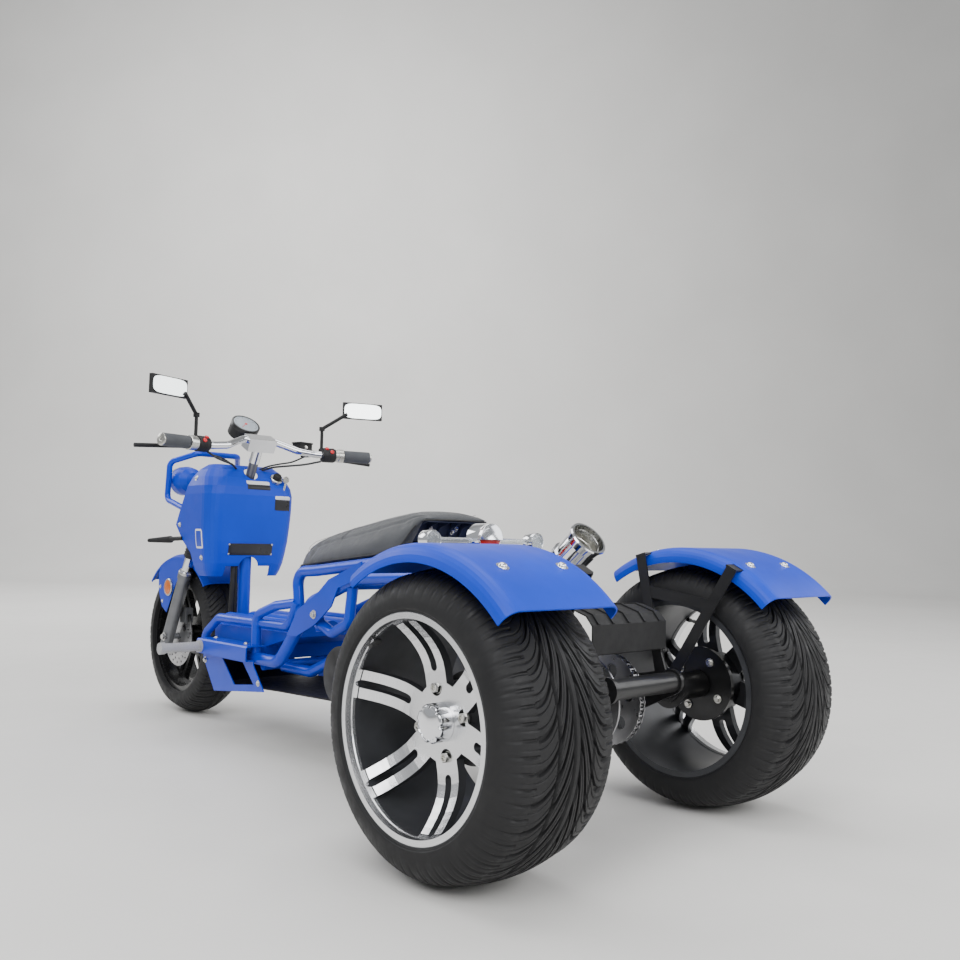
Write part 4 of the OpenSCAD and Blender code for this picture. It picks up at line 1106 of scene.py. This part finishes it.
def body_screws():
    """Screws of the fairing, the trays, the gussets and the front fender."""
    screws, fender_screws = Shape(), Shape()
    for _, sign in SIDES:
        side_screws(screws, "fairing", FAIRING_SCREWS, sign, BODY_SCREW_RADIUS)
        side_screws(screws, "side_plates", SIDE_PLATE_SCREWS, sign, BODY_SCREW_RADIUS)
        side_screws(fender_screws, "front_fender", FENDER_SCREWS, sign, FENDER_SCREW_RADIUS)
        for (x, y, z), radius in SIDE_HEX_BOLTS:
            hex_bolt(screws, place(x, sign * y, z), (0, sign, 0), radius)
        for x, y in TRAY_SCREWS:
            bolt_on(screws, "side_plates", place(x, sign * y, TRAY_RAY_Z), (0, 0, -1), BODY_SCREW_RADIUS)
    screws.build("body_screws", FINISHES["zinc"], "frame", bevel=0.0002)
    fender_screws.build("front_fender_screws", FINISHES["zinc"], "steering", bevel=0.0002)


PANEL_RAY_X = 1350
BEHIND_FAIRING = 1200
PLATE_LIFT, LABEL_LIFT = 0.0009, 0.0006
PLATE_BOW, BADGE_BOW = 0.02, 0.05
# Blank panels on the fairing's back: y and z of the lower corner in millimetres, width and height in metres
DATA_PLATE = (-73, 508, 0.148, 0.036)
LABELS = ((-54, 707, 0.078, 0.016), (-126, 646, 0.056, 0.034))
STRIP_HEIGHT = 0.011
RIVET_Y = (-70, 72)
RIVET_Z = (512, 540)
RIVET_RADIUS = 0.0026
# Badge on the left side: piece, finish, lower corner, width, height and how far it stands out
BADGE = (
    ("badge_rim", "label_pale", (1404, 150, 527), 0.042, 0.058, 0.0006),
    ("blank_badge", "blue_paint", (1407, 150, 530), 0.036, 0.052, 0.0009),
)


def back_panel(shape, y, z, wide, high, counts, lift, bow=0.0):
    """A thin panel on the fairing's back, from its lower corner."""
    corner = place(PANEL_RAY_X, y, z)
    laid_panel(shape, "fairing", BACK_VIEW, corner, (0, wide, 0), (0, 0, high), counts, lift, bow)


def blank_panels():
    """The blank data plate with its rivets, the labels with their pale strips, and the badge."""
    plate, labels, strips, rivets = Shape(), Shape(), Shape(), Shape()
    back_panel(plate, *DATA_PLATE, (24, 8), PLATE_LIFT, PLATE_BOW)
    for y, z, wide, high in LABELS:
        back_panel(labels, y, z, wide, high, (10, 8), LABEL_LIFT)
        back_panel(strips, y, z + 1000 * high, wide, STRIP_HEIGHT, (10, 4), LABEL_LIFT)
    for y in RIVET_Y:
        for z in RIVET_Z:
            bolt_on(rivets, "fairing", place(BEHIND_FAIRING, y, z), BACK_VIEW, RIVET_RADIUS)
    plate.build("blank_plate", FINISHES["plate_black"], "frame")
    labels.build("blank_labels", FINISHES["plate_black"], "frame")
    strips.build("label_strips", FINISHES["label_pale"], "frame")
    for name, finish, corner, wide, high, lift in BADGE:
        panel = Shape()
        edges = (wide, 0, 0), (0, 0, high)
        laid_panel(panel, "fairing", LEFT_VIEW, place(*corner), *edges, (12, 12), lift, BADGE_BOW)
        panel.build(name, FINISHES[finish], "frame")
    rivets.build("plate_rivets", FINISHES["zinc"], "frame")


# Exhaust lining: mouth, direction and profile of (radius, distance inward)
TIP_MOUTH = (160, -148, 572)
TIP_WAY = (0.75, 0, -0.66)
LINER_PROFILE = [
    (0.0368, 0.021), (0.0366, 0.034), (0.0352, 0.035), (0.0352, 0.039), (0.0366, 0.04), (0.0366, 0.052),
    (0.031, 0.061), (0.0205, 0.063), (0.0195, 0.066), (0.0195, 0.1),
]

LOCK_RAY = (BEHIND_FAIRING, -80, 742)
LOCK_WAY = Vector((-0.72, 0, 0.69))
LOCK_PROFILE = [
    (0.0195, -0.006), (0.0195, 0.005), (0.017, 0.0075), (0.0135, 0.0078), (0.013, 0.006), (0.0105, 0.006),
]
LOCK_CAP_PROFILE = [(0.0128, 0.005), (0.0128, 0.016), (0.0105, 0.019), (0, 0.0195)]
KEY_HANGS = Vector((-0.006, -0.028, -0.002))
KEY_BOW_RADIUS = 0.011
KEY_FRONT, KEY_BACK, BLADE_BACK = -0.0034, -0.0054, -0.0052
KEY_BLADE = ((-0.003, -0.009), (0.004, -0.008), (0.0125, -0.042), (0.009, -0.0445), (0.006, -0.042))


def key_lock():
    """The ignition lock with its cap and the key that hangs on it."""
    lock, cap = Shape(), Shape()
    spot, _ = hit("fairing", place(*LOCK_RAY), BACK_VIEW)
    lock.lathe(spot, LOCK_WAY, LOCK_PROFILE, 40)
    cap.lathe(spot, LOCK_WAY, LOCK_CAP_PROFILE, 32)
    key = spot + LOCK_WAY * 0.004 + KEY_HANGS
    bow = [key + Vector((0, KEY_BOW_RADIUS * math.cos(a), KEY_BOW_RADIUS * math.sin(a)))
           for a in np.linspace(0, 2 * math.pi, 25)[:-1]]
    blade = [key + Vector((0, y, z)) for y, z in KEY_BLADE]
    for outline, back in ((bow, KEY_BACK), (blade, BLADE_BACK)):
        lock.sheet(outline, (KEY_FRONT, 0, 0), (back, 0, 0))
    lock.tube([spot + LOCK_WAY * 0.01, key + Vector((-0.0044, 0.004, 0.003))], 0.0011, 8)
    lock.build("key_lock", FINISHES["zinc"], "frame", bevel=0.0003)
    cap.build("lock_cap", FINISHES["black_plastic"], "frame")


class TRIKE_OT_body_trim(bpy.types.Operator):
    """Screws, raised panels, the exhaust's lining, the key lock and the blank plate of the bodywork"""

    bl_idname = "trike.body_trim"
    bl_label = "Body trim"

    def execute(self, context):
        fender_bolts()
        body_screws()
        blank_panels()
        turned("exhaust_liner", "zinc", "frame", [(place(*TIP_MOUTH), TIP_WAY)], 64, LINER_PROFILE)
        key_lock()
        return {"FINISHED"}


# Lights

AHEAD = Vector((1, 0, 0))
TAIL_LAMP = place(320, 0, 566)
TAIL_SHELL = [(0.0345, -0.041), (0.0345, -0.002), (0.0338, 0.0), (0.0315, 0.0012), (0.0305, 0.0)]
HOOD_RADIUS = 0.0343
HOOD_ARC = (-4, 184)
HOOD_DEPTH = (-0.001, 0.0062)
REAR_SIGNALS = [(place(340, sign * 158, 562), AHEAD * way) for _, sign in SIDES for way in (-1, 1)]
HEADLAMPS = [(place(1640, sign * 62, 742), AHEAD) for _, sign in SIDES]
REFLECTOR = (1751, 295, 397)

# Turned pieces of the lamps: name, finish, places with directions, segments, profile of (radius, distance)
LAMP_PIECES = (
    ("tail_lamp_lens", "red_lens", [(TAIL_LAMP, -AHEAD)], 64, [
        (0.0303, -0.001), (0.0298, 0.0016), (0.024, 0.0026), (0.0235, 0.0019), (0.0165, 0.0032),
        (0.016, 0.0024), (0.008, 0.0036), (0, 0.0037)]),
    ("rear_signal_rims", "chrome", REAR_SIGNALS, 48, [
        (0.0205, 0.0), (0.0205, 0.0135), (0.0196, 0.0152), (0.0186, 0.0148)]),
    ("rear_signal_lenses", "clear_lens", REAR_SIGNALS, 48, [
        (0.0188, 0.0146), (0.0165, 0.0162), (0.0158, 0.0154), (0.0105, 0.0168), (0.0098, 0.016), (0, 0.017)]),
    ("headlamp_rims", "chrome", HEADLAMPS, 64, [
        (0.0464, 0.07), (0.0468, 0.084), (0.0452, 0.0885), (0.0415, 0.0895), (0.0408, 0.0872)]),
    ("headlamp_bowls", "chrome", HEADLAMPS, 64, [
        (0.0412, 0.0905), (0.03, 0.0932), (0.014, 0.0955), (0, 0.0962)]),
    ("headlamp_lenses", "clear_lens", HEADLAMPS, 64, [
        (0.0414, 0.0912), (0.03, 0.0948), (0.014, 0.0975), (0, 0.0982)]),
)
# Turned pieces of the front fender's reflectors: name, finish, profile
REFLECTOR_PIECES = (
    ("reflector_rims", "zinc", [
        (0.028, -0.001), (0.028, 0.005), (0.0262, 0.0068), (0.0235, 0.0068), (0.0232, 0.0052)]),
    ("reflectors", "orange_lens", [(0.0234, 0.0045), (0.0234, 0.0058), (0.012, 0.0066), (0, 0.0068)]),
)


def tail_lamp_shell():
    """The tail lamp's shell, with a hood over the upper half of its lens."""
    shell = Shape()
    shell.lathe(TAIL_LAMP, -AHEAD, TAIL_SHELL, 64)
    hood = [TAIL_LAMP + Vector((0, HOOD_RADIUS * math.cos(a), HOOD_RADIUS * math.sin(a)))
            for a in np.linspace(math.radians(HOOD_ARC[0]), math.radians(HOOD_ARC[1]), 33)]
    shell.sheet(hood, AHEAD * -HOOD_DEPTH[0], AHEAD * -HOOD_DEPTH[1])
    shell.build("tail_lamp_shell", FINISHES["chrome"], "frame", bevel=0.0012)


class TRIKE_OT_lights(bpy.types.Operator):
    """Lenses, bezels and reflectors of the lamps, signals and markers"""

    bl_idname = "trike.lights"
    bl_label = "Lights"

    def execute(self, context):
        tail_lamp_shell()
        for name, finish, spots, segments, profile in LAMP_PIECES:
            turned(name, finish, "frame", spots, segments, profile)
        x, y, z = REFLECTOR
        spots = []
        for _, sign in SIDES:
            spot, _ = hit("front_fender", place(x, sign * y, z), (0, -sign, 0))
            spots.append((spot, Vector((0, sign, 0))))
        for name, finish, profile in REFLECTOR_PIECES:
            turned(name, finish, "steering", spots, 56, profile)
        return {"FINISHED"}


# Controls: profiles are (radius, distance outward), and distances along the bar are from the middle

HOUSING = (0.196, 0.231)
HOUSING_PROFILE = [
    (0.0112, -0.0005), (0.0222, 0), (0.0228, 0.003), (0.0228, 0.0165), (0.0219, 0.0175), (0.0228, 0.0185),
    (0.0228, 0.034), (0.0212, 0.037), (0.0112, 0.0374),
]
# Buttons of a housing: sideways and upward parts of the direction, and the place along the bar
BUTTONS = ((-0.5, 0.72, -0.008), (-0.86, 0.35, 0.006))
BUTTON_PROFILE = [(0.0062, 0), (0.0062, 0.0032), (0.005, 0.0042), (0, 0.0044)]
BAR_TIP = 0.3442
TIP_PROFILE = [
    (0.0165, 0), (0.0172, 0.001), (0.0172, 0.0042), (0.0152, 0.0056), (0.006, 0.006), (0.005, 0.0045),
    (0, 0.0045),
]
COLLAR_Y = 0.2335
COLLAR_PROFILE = [
    (0.0175, 0), (0.0196, 0.001), (0.0196, 0.0095), (0.0212, 0.0105), (0.0212, 0.026), (0.0198, 0.0275),
    (0.0172, 0.028),
]
GRIP = (0.262, 0.344)
GRIP_RIBS = 28
GRIP_END, GRIP_LOW, GRIP_HIGH = 0.0168, 0.0171, 0.0184
RESERVOIR_Y = 0.152
RESERVOIR_TURN = Matrix.Rotation(math.radians(14), 3, "Z")
# Blocks of the brake reservoir on the right: middle from the bar, and size
RESERVOIR_BLOCKS = (
    ((0.036, 0, 0.018), (0.036, 0.05, 0.03)),
    ((0.036, 0, 0.0355), (0.04, 0.054, 0.005)),
    ((0.012, 0, 0.004), (0.03, 0.02, 0.026)),
)
LID_SCREWS = ((-0.014, -0.02), (0.014, 0.02))
SIGHT_GLASS = Vector((0.0185, 0, 0.02))
SIGHT_PROFILE = [(0.0085, 0), (0.0085, 0.0012), (0.0065, 0.002), (0, 0.0014)]


def bar_side(sign, housings, buttons, ends, grips):
    """Housing, buttons, collar, grip and bar end on one side of the bar."""
    inner, outer = on_bar(HOUSING[0], sign), on_bar(HOUSING[1], sign)
    way = (outer - inner).normalized()
    housings.lathe(inner, way, HOUSING_PROFILE, 40)
    for side, height, along in BUTTONS:
        push = Vector((side, 0, height)).normalized()
        push = (push - way * push.dot(way)).normalized()
        buttons.lathe((inner + outer) / 2 + way * along + push * 0.0222, push, BUTTON_PROFILE, 20)
    ends.lathe(on_bar(BAR_TIP, sign), way, TIP_PROFILE, 40)
    ends.lathe(on_bar(COLLAR_Y, sign), way, COLLAR_PROFILE, 40)
    start = on_bar(GRIP[0], sign)
    span = on_bar(GRIP[1], sign) - start
    profile = [(GRIP_END, 0.0)]
    for k in range(GRIP_RIBS):
        profile += [(GRIP_LOW, k / GRIP_RIBS), (GRIP_HIGH, (k + 0.25) / GRIP_RIBS),
                    (GRIP_HIGH, (k + 0.6) / GRIP_RIBS), (GRIP_LOW, (k + 0.8) / GRIP_RIBS)]
    profile.append((GRIP_END, 1.0))
    grips.lathe(start, span, [(radius, share * span.length) for radius, share in profile], 40)


def brake_reservoir(housings, ends):
    """The reservoir of the front brake, with its lid, lid screws and sight glass."""
    right = on_bar(RESERVOIR_Y, -1)
    for middle, size in RESERVOIR_BLOCKS:
        housings.block(right + Vector(middle), size, RESERVOIR_TURN)
    lid = right + Vector((0.036, 0, 0.038))
    for dx, dy in LID_SCREWS:
        dome_bolt(ends, lid + RESERVOIR_TURN @ Vector((dx, dy, 0)), (0, 0, 1), 0.0028)
    ends.lathe(right + SIGHT_GLASS, (-1, 0, 0), SIGHT_PROFILE, 24)


def bar_fittings():
    """Everything that is clamped on the bar's outer stretches."""
    housings, buttons, ends, grips = Shape(), Shape(), Shape(), Shape()
    for _, sign in SIDES:
        bar_side(sign, housings, buttons, ends, grips)
    brake_reservoir(housings, ends)
    housings = housings.build("bar_housings", FINISHES["black_plastic"], "steering", bevel=0.0012)
    buttons.build("bar_buttons", FINISHES["red_plastic"], "steering")
    ends.build("bar_ends", FINISHES["zinc"], "steering", bevel=0.0004)
    grips = grips.build("ribbed_grips", FINISHES["grip"], "steering")
    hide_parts("grips")


MIRROR = (1262, 324, 972)
MIRROR_TURN = math.radians(19)
GLASS_HALF = (0.061, 0.0235)
GLASS_CORNERS = (0.4, 0.55)
CASE_ROUNDING = 0.006


def mirror_glasses():
    """The mirrors' glass, and rounded edges on their cases."""
    glass = Shape()
    x, y, z = MIRROR
    for _, sign in SIDES:
        mid = place(x, sign * y, z)
        along = Vector((-math.sin(MIRROR_TURN), sign * math.cos(MIRROR_TURN), 0))
        out = Vector((-math.cos(MIRROR_TURN), -sign * math.sin(MIRROR_TURN), 0))
        outline = []
        for a in np.linspace(0, 2 * math.pi, 49)[:-1]:
            outline.append(mid + along * (GLASS_HALF[0] * rounded(math.cos(a), GLASS_CORNERS[0]))
                           + Vector((0, 0, GLASS_HALF[1] * rounded(math.sin(a), GLASS_CORNERS[1]))))
        glass.sheet(outline, out * 0.0002, out * 0.0009)
    glass.build("mirror_glass", FINISHES["mirror"], "steering")
    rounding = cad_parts["mirrors"].modifiers.new("rounding", "BEVEL")
    rounding.width = CASE_ROUNDING
    rounding.segments = 4
    rounding.angle_limit = math.radians(60)


DIAL_TILT = math.radians(40)
DIAL = place(1425, 0, 913)
DIAL_OUT = Vector((-math.sin(DIAL_TILT), 0, math.cos(DIAL_TILT)))
DIAL_UP = Vector((math.cos(DIAL_TILT), 0, math.sin(DIAL_TILT)))
DIAL_ACROSS = Vector((0, 1, 0))
DIAL_START, DIAL_SWEEP = 225, 270
DIAL_MARKS, DIAL_LONG_MARK = 33, 4
MARK_RADIUS = 0.035
RING_PROFILE = [(0.0445, -0.012), (0.0448, 0.0002), (0.0442, 0.0012), (0.0395, 0.0014), (0.0385, -0.0002)]
FACE_PROFILE = [(0.039, 0.00005), (0.039, 0.0003), (0, 0.0003)]


def dial_way(angle):
    """The direction from the dial's middle at an angle, and a block's turn along it."""
    a = math.radians(angle)
    way = DIAL_ACROSS * -math.cos(a) + DIAL_UP * math.sin(a)
    return way, Matrix((way, way.cross(DIAL_OUT), DIAL_OUT)).transposed()


def dial():
    """The speedometer's ring, face, scale marks and needle."""
    turned("dial_ring", "black_coat", "steering", [(DIAL, DIAL_OUT)], 72, RING_PROFILE)
    turned("dial_face", "dial", "steering", [(DIAL, DIAL_OUT)], 72, FACE_PROFILE)
    marks, needle = Shape(), Shape()
    for k in range(DIAL_MARKS):
        way, basis = dial_way(DIAL_START - DIAL_SWEEP * k / (DIAL_MARKS - 1))
        length, width = (0.006, 0.0011) if k % DIAL_LONG_MARK == 0 else (0.003, 0.0006)
        spot = DIAL + DIAL_OUT * 0.0004 + way * (MARK_RADIUS - length / 2)
        marks.block(spot, (length, width, 0.0003), basis)
    marks.build("dial_marks", FINISHES["plate_black"], "steering")
    way, basis = dial_way(DIAL_START)
    needle.block(DIAL + DIAL_OUT * 0.0008 + way * 0.011, (0.034, 0.0014, 0.0004), basis)
    needle.lathe(DIAL + DIAL_OUT * 0.0004, DIAL_OUT, [(0.0042, 0), (0.0042, 0.0009), (0, 0.001)], 24)
    needle.build("dial_needle", FINISHES["red_plastic"], "steering")


class TRIKE_OT_controls(bpy.types.Operator):
    """Housings, buttons, reservoir, mirror glass and dial on the handlebar"""

    bl_idname = "trike.controls"
    bl_label = "Controls"

    def execute(self, context):
        bar_fittings()
        mirror_glasses()
        dial()
        return {"FINISHED"}


# Each control cable: side, radius and its points from the housing to the fairing, in millimetres
CONTROL_CABLES = (
    (1, 3.2, ((1292, 190, 803), (1322, 150, 792), (1352, 108, 786), (1374, 70, 780), (1396, 44, 770))),
    (1, 2.4, ((1297, 196, 806), (1334, 156, 800), (1366, 112, 797), (1392, 72, 788), (1404, 40, 772))),
    (-1, 3.2, ((1292, 190, 803), (1322, 150, 792), (1352, 108, 786), (1374, 70, 780), (1396, 44, 770))),
    (-1, 2.6, ((1322, 152, 818), (1352, 124, 800), (1376, 92, 792), (1392, 64, 784), (1404, 38, 772))),
)


class TRIKE_OT_cables(bpy.types.Operator):
    """The control cables that run from the housings into the top of the fairing"""

    bl_idname = "trike.cables"
    bl_label = "Cables"

    def execute(self, context):
        for number, (sign, radius, points) in enumerate(CONTROL_CABLES, start=1):
            shape = Shape()
            route = smooth_route([place(x, sign * y, z) for x, y, z in points], 10)
            shape.tube(route, radius / 1000, 10)
            cable = shape.build("control_cable_%d" % number, FINISHES["rubber"], None)
            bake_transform(cable)
        return {"FINISHED"}


# Fork trim: heights on the legs, and profiles of (radius, distance up the leg)

BOOT_Z = (0.498, 0.556)
BOOT_FOLDS = 7
BOOT_END, BOOT_VALLEY, BOOT_FOLD, BOOT_TAPER = 0.0146, 0.0168, 0.0205, 0.0018
COLLAR_Z = 0.4475
LEG_COLLAR_PROFILE = [
    (0.0222, -0.0012), (0.0222, 0.003), (0.0205, 0.0065), (0.016, 0.008), (0.0144, 0.0082),
]
SLEEVE_Z = 0.452
SLEEVE_PROFILE = [(0.0141, 0), (0.0143, 0.001), (0.0143, 0.0535), (0.0141, 0.0545)]


def boot_profile(length):
    """Folds of a rubber boot that narrows upward."""
    profile = [(BOOT_END, 0.0), (0.0178, 0.0008)]
    fold = length / BOOT_FOLDS
    for k in range(BOOT_FOLDS):
        at = fold * (k + 0.1)
        wide = BOOT_FOLD - BOOT_TAPER * k / BOOT_FOLDS
        profile += [(BOOT_VALLEY, at), (wide, at + fold * 0.38), (wide, at + fold * 0.5),
                    (BOOT_VALLEY, at + fold * 0.85)]
    return profile + [(BOOT_END, length)]


class TRIKE_OT_fork_trim(bpy.types.Operator):
    """Boots, collars and chrome sleeves of the fork legs"""

    bl_idname = "trike.fork_trim"
    bl_label = "Fork trim"

    def execute(self, context):
        way = Vector((-math.tan(RAKE), 0, 1)).normalized()
        length = (on_leg(BOOT_Z[1], 1) - on_leg(BOOT_Z[0], 1)).length
        for name, finish, z, profile in (
                ("fork_boots", "rubber", BOOT_Z[0], boot_profile(length)),
                ("fork_collars", "zinc", COLLAR_Z, LEG_COLLAR_PROFILE),
                ("fork_chrome", "chrome", SLEEVE_Z, SLEEVE_PROFILE)):
            turned(name, finish, "steering", [(on_leg(z, sign), way) for _, sign in SIDES], 40, profile)
        return {"FINISHED"}


# Stage


class StageSettings(bpy.types.PropertyGroup):
    """Floor colour and light levels"""

    floor: FloatVectorProperty(name="Floor", description="Colour of the floor", subtype="COLOR",
                               default=(0.72, 0.71, 0.69), min=0, max=1)
    light: FloatProperty(name="Light", description="Strength of the studio lights", default=1.0, min=0, max=5)


CAMERA_AT = Vector((-2.04445, 1.4489, 0.5534))
CAMERA_YAW = 0.7490
CAMERA_PITCH = 0.0681
CAMERA_ROLL = 0.0178
CAMERA_LENS = 35.45


def set_camera():
    """The photograph's viewpoint."""
    cy, sy = math.cos(CAMERA_YAW), math.sin(CAMERA_YAW)
    cp, sp = math.cos(CAMERA_PITCH), math.sin(CAMERA_PITCH)
    ahead = Vector((cp * cy, -cp * sy, sp))
    right = ahead.cross(Vector((0, 0, 1))).normalized()
    up = right.cross(ahead)
    cr, sr = math.cos(CAMERA_ROLL), math.sin(CAMERA_ROLL)
    x, y = right * cr + up * sr, up * cr - right * sr
    data = bpy.data.cameras.new("photo_camera")
    data.lens = CAMERA_LENS
    data.sensor_width = 36
    data.clip_start = 0.05
    camera = bpy.data.objects.new("photo_camera", data)
    bpy.context.scene.collection.objects.link(camera)
    camera.matrix_world = Matrix((x, y, -ahead)).transposed().to_4x4()
    camera.matrix_world.translation = CAMERA_AT
    bpy.context.scene.camera = camera


def soft_light(name, spot, target, size, power):
    """A large soft light aimed at a point."""
    data = bpy.data.lights.new(name, "AREA")
    data.shape = "RECTANGLE"
    data.size, data.size_y = size
    data.energy = power
    lamp = bpy.data.objects.new(name, data)
    bpy.context.scene.collection.objects.link(lamp)
    lamp.location = spot
    lamp.rotation_euler = (Vector(target) - Vector(spot)).to_track_quat("-Z", "Y").to_euler()


# Soft lights: name, place, target, size and power
LIGHTS = (
    ("key", (-2.6, 4.2, 4.2), (0, 0, 0.3), (3.4, 3.4), 230),
    ("back_left", (-5.0, 0.4, 2.6), (0, 0, 0.4), (3.6, 2.4), 150),
    ("fill", (-3.0, -4.5, 2.8), (0, 0, 0.4), (3.5, 3.0), 110),
    ("ahead", (4.8, 2.2, 3.4), (0, 0, 0.5), (3.5, 3.0), 150),
    ("top", (0.2, 0.0, 5.2), (0, 0, 0), (4.5, 4.5), 190),
    ("wall", (5.5, -2.0, 6.5), (9, -6, 3), (6, 6), 700),
)
ROOM_COLOUR = (0.9, 0.92, 0.94, 1)
ROOM_STRENGTH = 0.5
# Floor: how far it reaches, the height of the wall that it turns into, the bend between them, half its width
FLOOR_REACH, WALL_RISE, FLOOR_BEND, FLOOR_HALF = 12.0, 22.0, 3.0, 18


def floor_finish(pale):
    """The pale floor's finish, with faint clouds and a fine grain."""
    mat, shader, where = new_finish("floor")
    cloud = add_noise(mat, where, 0.8, 6)
    tone = add_mix(mat, add_range(mat, cloud, 0, 1), pale, tuple(c * 0.94 for c in pale))
    link(mat, tone, shader.inputs["Base Color"])
    link(mat, add_range(mat, add_noise(mat, where, 9, 6), 0.5, 0.7), shader.inputs["Roughness"])
    add_bump(mat, shader, add_noise(mat, where, 60, 5), 0.0004)
    return mat


def floor_and_wall(finish):
    """A floor that bends up into a wall, square to the camera."""
    route = [(-FLOOR_REACH, 0)]
    for a in np.linspace(0, math.pi / 2, 13):
        route.append((FLOOR_REACH - FLOOR_BEND * (1 - math.sin(a)), FLOOR_BEND * (1 - math.cos(a))))
    route.append((FLOOR_REACH, WALL_RISE))
    turn = Matrix.Rotation(-CAMERA_YAW, 3, "Z")
    points = [turn @ Vector((x, side * FLOOR_HALF, z)) for x, z in route for side in (-1, 1)]
    faces = [(2 * i, 2 * i + 1, 2 * i + 3, 2 * i + 2) for i in range(len(route) - 1)]
    mesh = bpy.data.meshes.new("floor")
    mesh.from_pydata(points, [], faces)
    mesh.shade_smooth()
    mesh.materials.append(finish)
    floor = bpy.data.objects.new("floor", mesh)
    bpy.context.scene.collection.objects.link(floor)


def pale_room(strength):
    """Even pale light from all round."""
    world = bpy.data.worlds.new("pale_room")
    world.use_nodes = True
    backdrop = world.node_tree.nodes["Background"]
    backdrop.inputs["Color"].default_value = ROOM_COLOUR
    backdrop.inputs["Strength"].default_value = strength
    bpy.context.scene.world = world


class TRIKE_OT_stage(bpy.types.Operator):
    """Camera, pale floor and soft light"""

    bl_idname = "trike.stage"
    bl_label = "Stage"

    def execute(self, context):
        settings = context.scene.trike_stage
        set_camera()
        floor_and_wall(floor_finish(tuple(settings.floor)))
        for name, spot, target, size, power in LIGHTS:
            soft_light(name, spot, target, size, power * settings.light)
        pale_room(ROOM_STRENGTH * settings.light)
        return {"FINISHED"}


class TRIKE_OT_finishes(bpy.types.Operator):
    """Makes every finish and gives each solid its own"""

    bl_idname = "trike.finishes"
    bl_label = "Finishes"

    def execute(self, context):
        make_finishes(context.scene.trike_colours)
        dress_solids()
        return {"FINISHED"}


class TrikeColours(bpy.types.PropertyGroup):
    """Main colours of the trike"""

    paint: FloatVectorProperty(name="Paint", description="Colour of the frame and bodywork", subtype="COLOR",
                               default=(0.0, 0.042, 0.56), min=0, max=1)
    black: FloatVectorProperty(name="Black", description="Colour of the coated and plastic black parts",
                               subtype="COLOR", default=(0.012, 0.012, 0.013), min=0, max=1)
    seat: FloatVectorProperty(name="Seat", description="Colour of the seat's vinyl", subtype="COLOR",
                              default=(0.045, 0.049, 0.056), min=0, max=1)


class TRIKE_PT_panel(bpy.types.Panel):
    """Lists the sizes, colours and operators of the trike"""

    bl_idname = "TRIKE_PT_panel"
    bl_label = "Trike"
    bl_space_type = "VIEW_3D"
    bl_region_type = "UI"
    bl_category = "Trike"

    def draw(self, context):
        for group in PROPERTIES:
            box = self.layout.box()
            for name in getattr(context.scene, group).__annotations__:
                box.prop(getattr(context.scene, group), name)
        for kind in OPERATORS:
            self.layout.operator(kind.bl_idname)


OPERATORS = (
    TRIKE_OT_stage, TRIKE_OT_finishes, TRIKE_OT_seat, TRIKE_OT_tyres, TRIKE_OT_wheel_trim, TRIKE_OT_body_trim,
    TRIKE_OT_lights, TRIKE_OT_controls, TRIKE_OT_cables, TRIKE_OT_fork_trim,
)
PROPERTIES = {
    "trike_colours": TrikeColours,
    "trike_seat": SeatSizes,
    "trike_tyres": TyreSizes,
    "trike_stage": StageSettings,
}
CLASSES = (*PROPERTIES.values(), *OPERATORS, TRIKE_PT_panel)


def register():
    """Makes the classes known to Blender and hangs the settings on the scene."""
    for kind in CLASSES:
        bpy.utils.register_class(kind)
    for name, kind in PROPERTIES.items():
        setattr(bpy.types.Scene, name, PointerProperty(type=kind))


def unregister():
    """Takes the settings and the classes away again."""
    for name in PROPERTIES:
        delattr(bpy.types.Scene, name)
    for kind in reversed(CLASSES):
        bpy.utils.unregister_class(kind)


def main():
    """Builds everything in order."""
    register()
    for kind in OPERATORS:
        group, name = kind.bl_idname.split(".")
        getattr(getattr(bpy.ops, group), name)()


if __name__ == "__main__":
    main()
